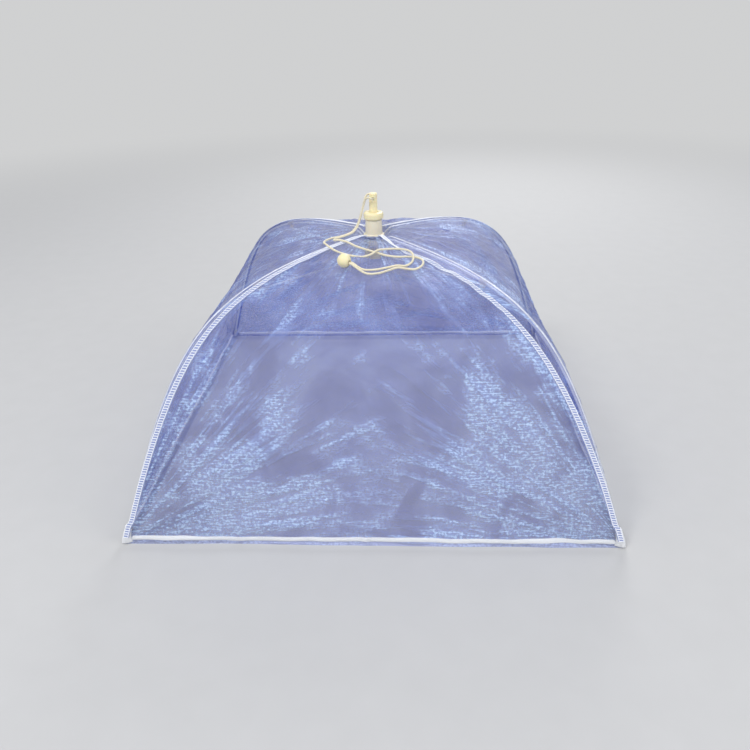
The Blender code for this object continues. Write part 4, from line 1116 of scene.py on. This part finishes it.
def pocket_spot(across_share, up_share):
    """(station, beside) of a place on a pocket: across from -1 to 1, up from 0 at its foot to 1."""
    top = POCKET_SHORT + (POCKET_TALL - POCKET_SHORT) * (1 - across_share * across_share) ** 0.5
    low = 0.2 * MM + 1.8 * MM * abs(across_share) ** 3
    reach = POCKET_FOOT_REACH + (POCKET_TOP_REACH - POCKET_FOOT_REACH) * up_share**0.8
    return station_up(low + (top - low) * up_share), across_share * reach


def pocket_outer(down, across):
    """The pocket swells over the rib's tip."""
    down, across = (min(max(share, 0.04), 0.96) for share in (down, across))
    return POCKET_OUT + POCKET_SWELL * (math.sin(math.pi * down) * math.sin(math.pi * across)) ** 0.5


for corner, name in enumerate(CORNERS):
    grid = []
    for line in range(POCKET_LINES + 1):
        grid.append([pocket_spot(place, 1 - line / POCKET_LINES) for place in places_between(-1, 1, 0.1)])
    patch = cloth_patch("pocket", corner, grid, lambda down, across: POCKET_IN, pocket_outer)
    frames = []
    for place in places_between(-0.86, 0.86, 0.16):
        frames.append(cloth_frame(corner, *pocket_spot(place, POCKET_ROW_UP), POCKET_ROW_OUT))
    stitches = stitch_row("pocket_rows", frames, **POCKET_STITCHES)
    pocket = joined_piece("corner_tape_" + name, [(patch, woven_ribbon), (stitches, white_thread)])
    follow_rib(pocket, corner)
    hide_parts("corner_pocket_" + name)
    quarter = quarters[corner]


# Studio
# A pale floor that fades into an even pale backdrop, four soft lamps, and a bright even world. The
# backdrop's colour is seen by the camera and in gloss, and lights nothing.
PALE = (0.63, 0.635, 0.64)
FLOOR_REACH, FLOOR_DROP = 30.0, 0.1 * MM
FADE_FROM, FADE_TO = 0.7, 2.2
pale_floor, tree, shader = material_of("pale_floor", (0.52, 0.52, 0.52), 0.8)
place = tree.object_place()
grit = tree.noise(place, 40.0, 5.0)
tree.feed(shader, {"Base Color": tree.color(grit, (0.5, 0.5, 0.5), (0.53, 0.53, 0.53))})
away = tree.add("ShaderNodeVectorMath", {0: place}, operation="LENGTH").outputs["Value"]
ray = tree.add("ShaderNodeLightPath").outputs
seen = tree.calc("MAXIMUM", ray["Is Camera Ray"], ray["Is Glossy Ray"])
seen = tree.calc("MAXIMUM", seen, ray["Is Transmission Ray"])
glow = tree.add("ShaderNodeEmission", {"Color": PALE, "Strength": 1.0})
fade = tree.calc("MULTIPLY", tree.ramp(FADE_FROM, FADE_TO, away), seen)
blend = tree.add("ShaderNodeMixShader", {0: fade, 1: shader.outputs[0], 2: glow.outputs[0]})
tree.feed(tree.nodes["Material Output"], {"Surface": blend.outputs[0]})
floor_mesh = bpy.data.meshes.new("floor")
floor_corners = ((-1, -1), (1, -1), (1, 1), (-1, 1))
floor_mesh.from_pydata(
    [(x * FLOOR_REACH, y * FLOOR_REACH, -FLOOR_DROP) for x, y in floor_corners], [], [(0, 1, 2, 3)],
)
piece("floor", floor_mesh, pale_floor)

world = bpy.data.worlds.new("studio")
bpy.context.scene.world = world
world.use_nodes = True
tree = Tree(world.node_tree)
soft = tree.nodes["Background"]
tree.feed(soft, {"Color": (0.93, 0.95, 1.0), "Strength": 0.66})
pale = tree.add("ShaderNodeBackground", {"Color": PALE, "Strength": 1.0})
ray = tree.add("ShaderNodeLightPath").outputs
blend = tree.add("ShaderNodeMixShader", {0: ray["Is Camera Ray"], 1: soft.outputs[0], 2: pale.outputs[0]})
tree.feed(tree.nodes["World Output"], {"Surface": blend.outputs[0]})


def lamp(name, place, target, size, watts):
    light = bpy.data.lights.new(name, "AREA")
    light.size = size
    light.energy = watts
    made = bpy.data.objects.new(name, light)
    bpy.context.scene.collection.objects.link(made)
    aim = (Vector(target) - Vector(place)).to_track_quat("-Z", "Y").to_matrix().to_4x4()
    made.matrix_world = Matrix.Translation(place) @ aim


lamp("key", (-0.8, -0.7, 1.5), (0, 0, 0.1), 0.45, 12.2)
lamp("front", (0.2, -1.5, 0.55), (0, 0, 0.1), 0.6, 4.3)
lamp("fill", (1.4, -0.6, 1.0), (0, 0, 0.1), 0.8, 6)
lamp("back", (0.3, 1.5, 1.1), (0, 0, 0.12), 0.6, 12)
bpy.context.scene.view_settings.view_transform = "Standard"
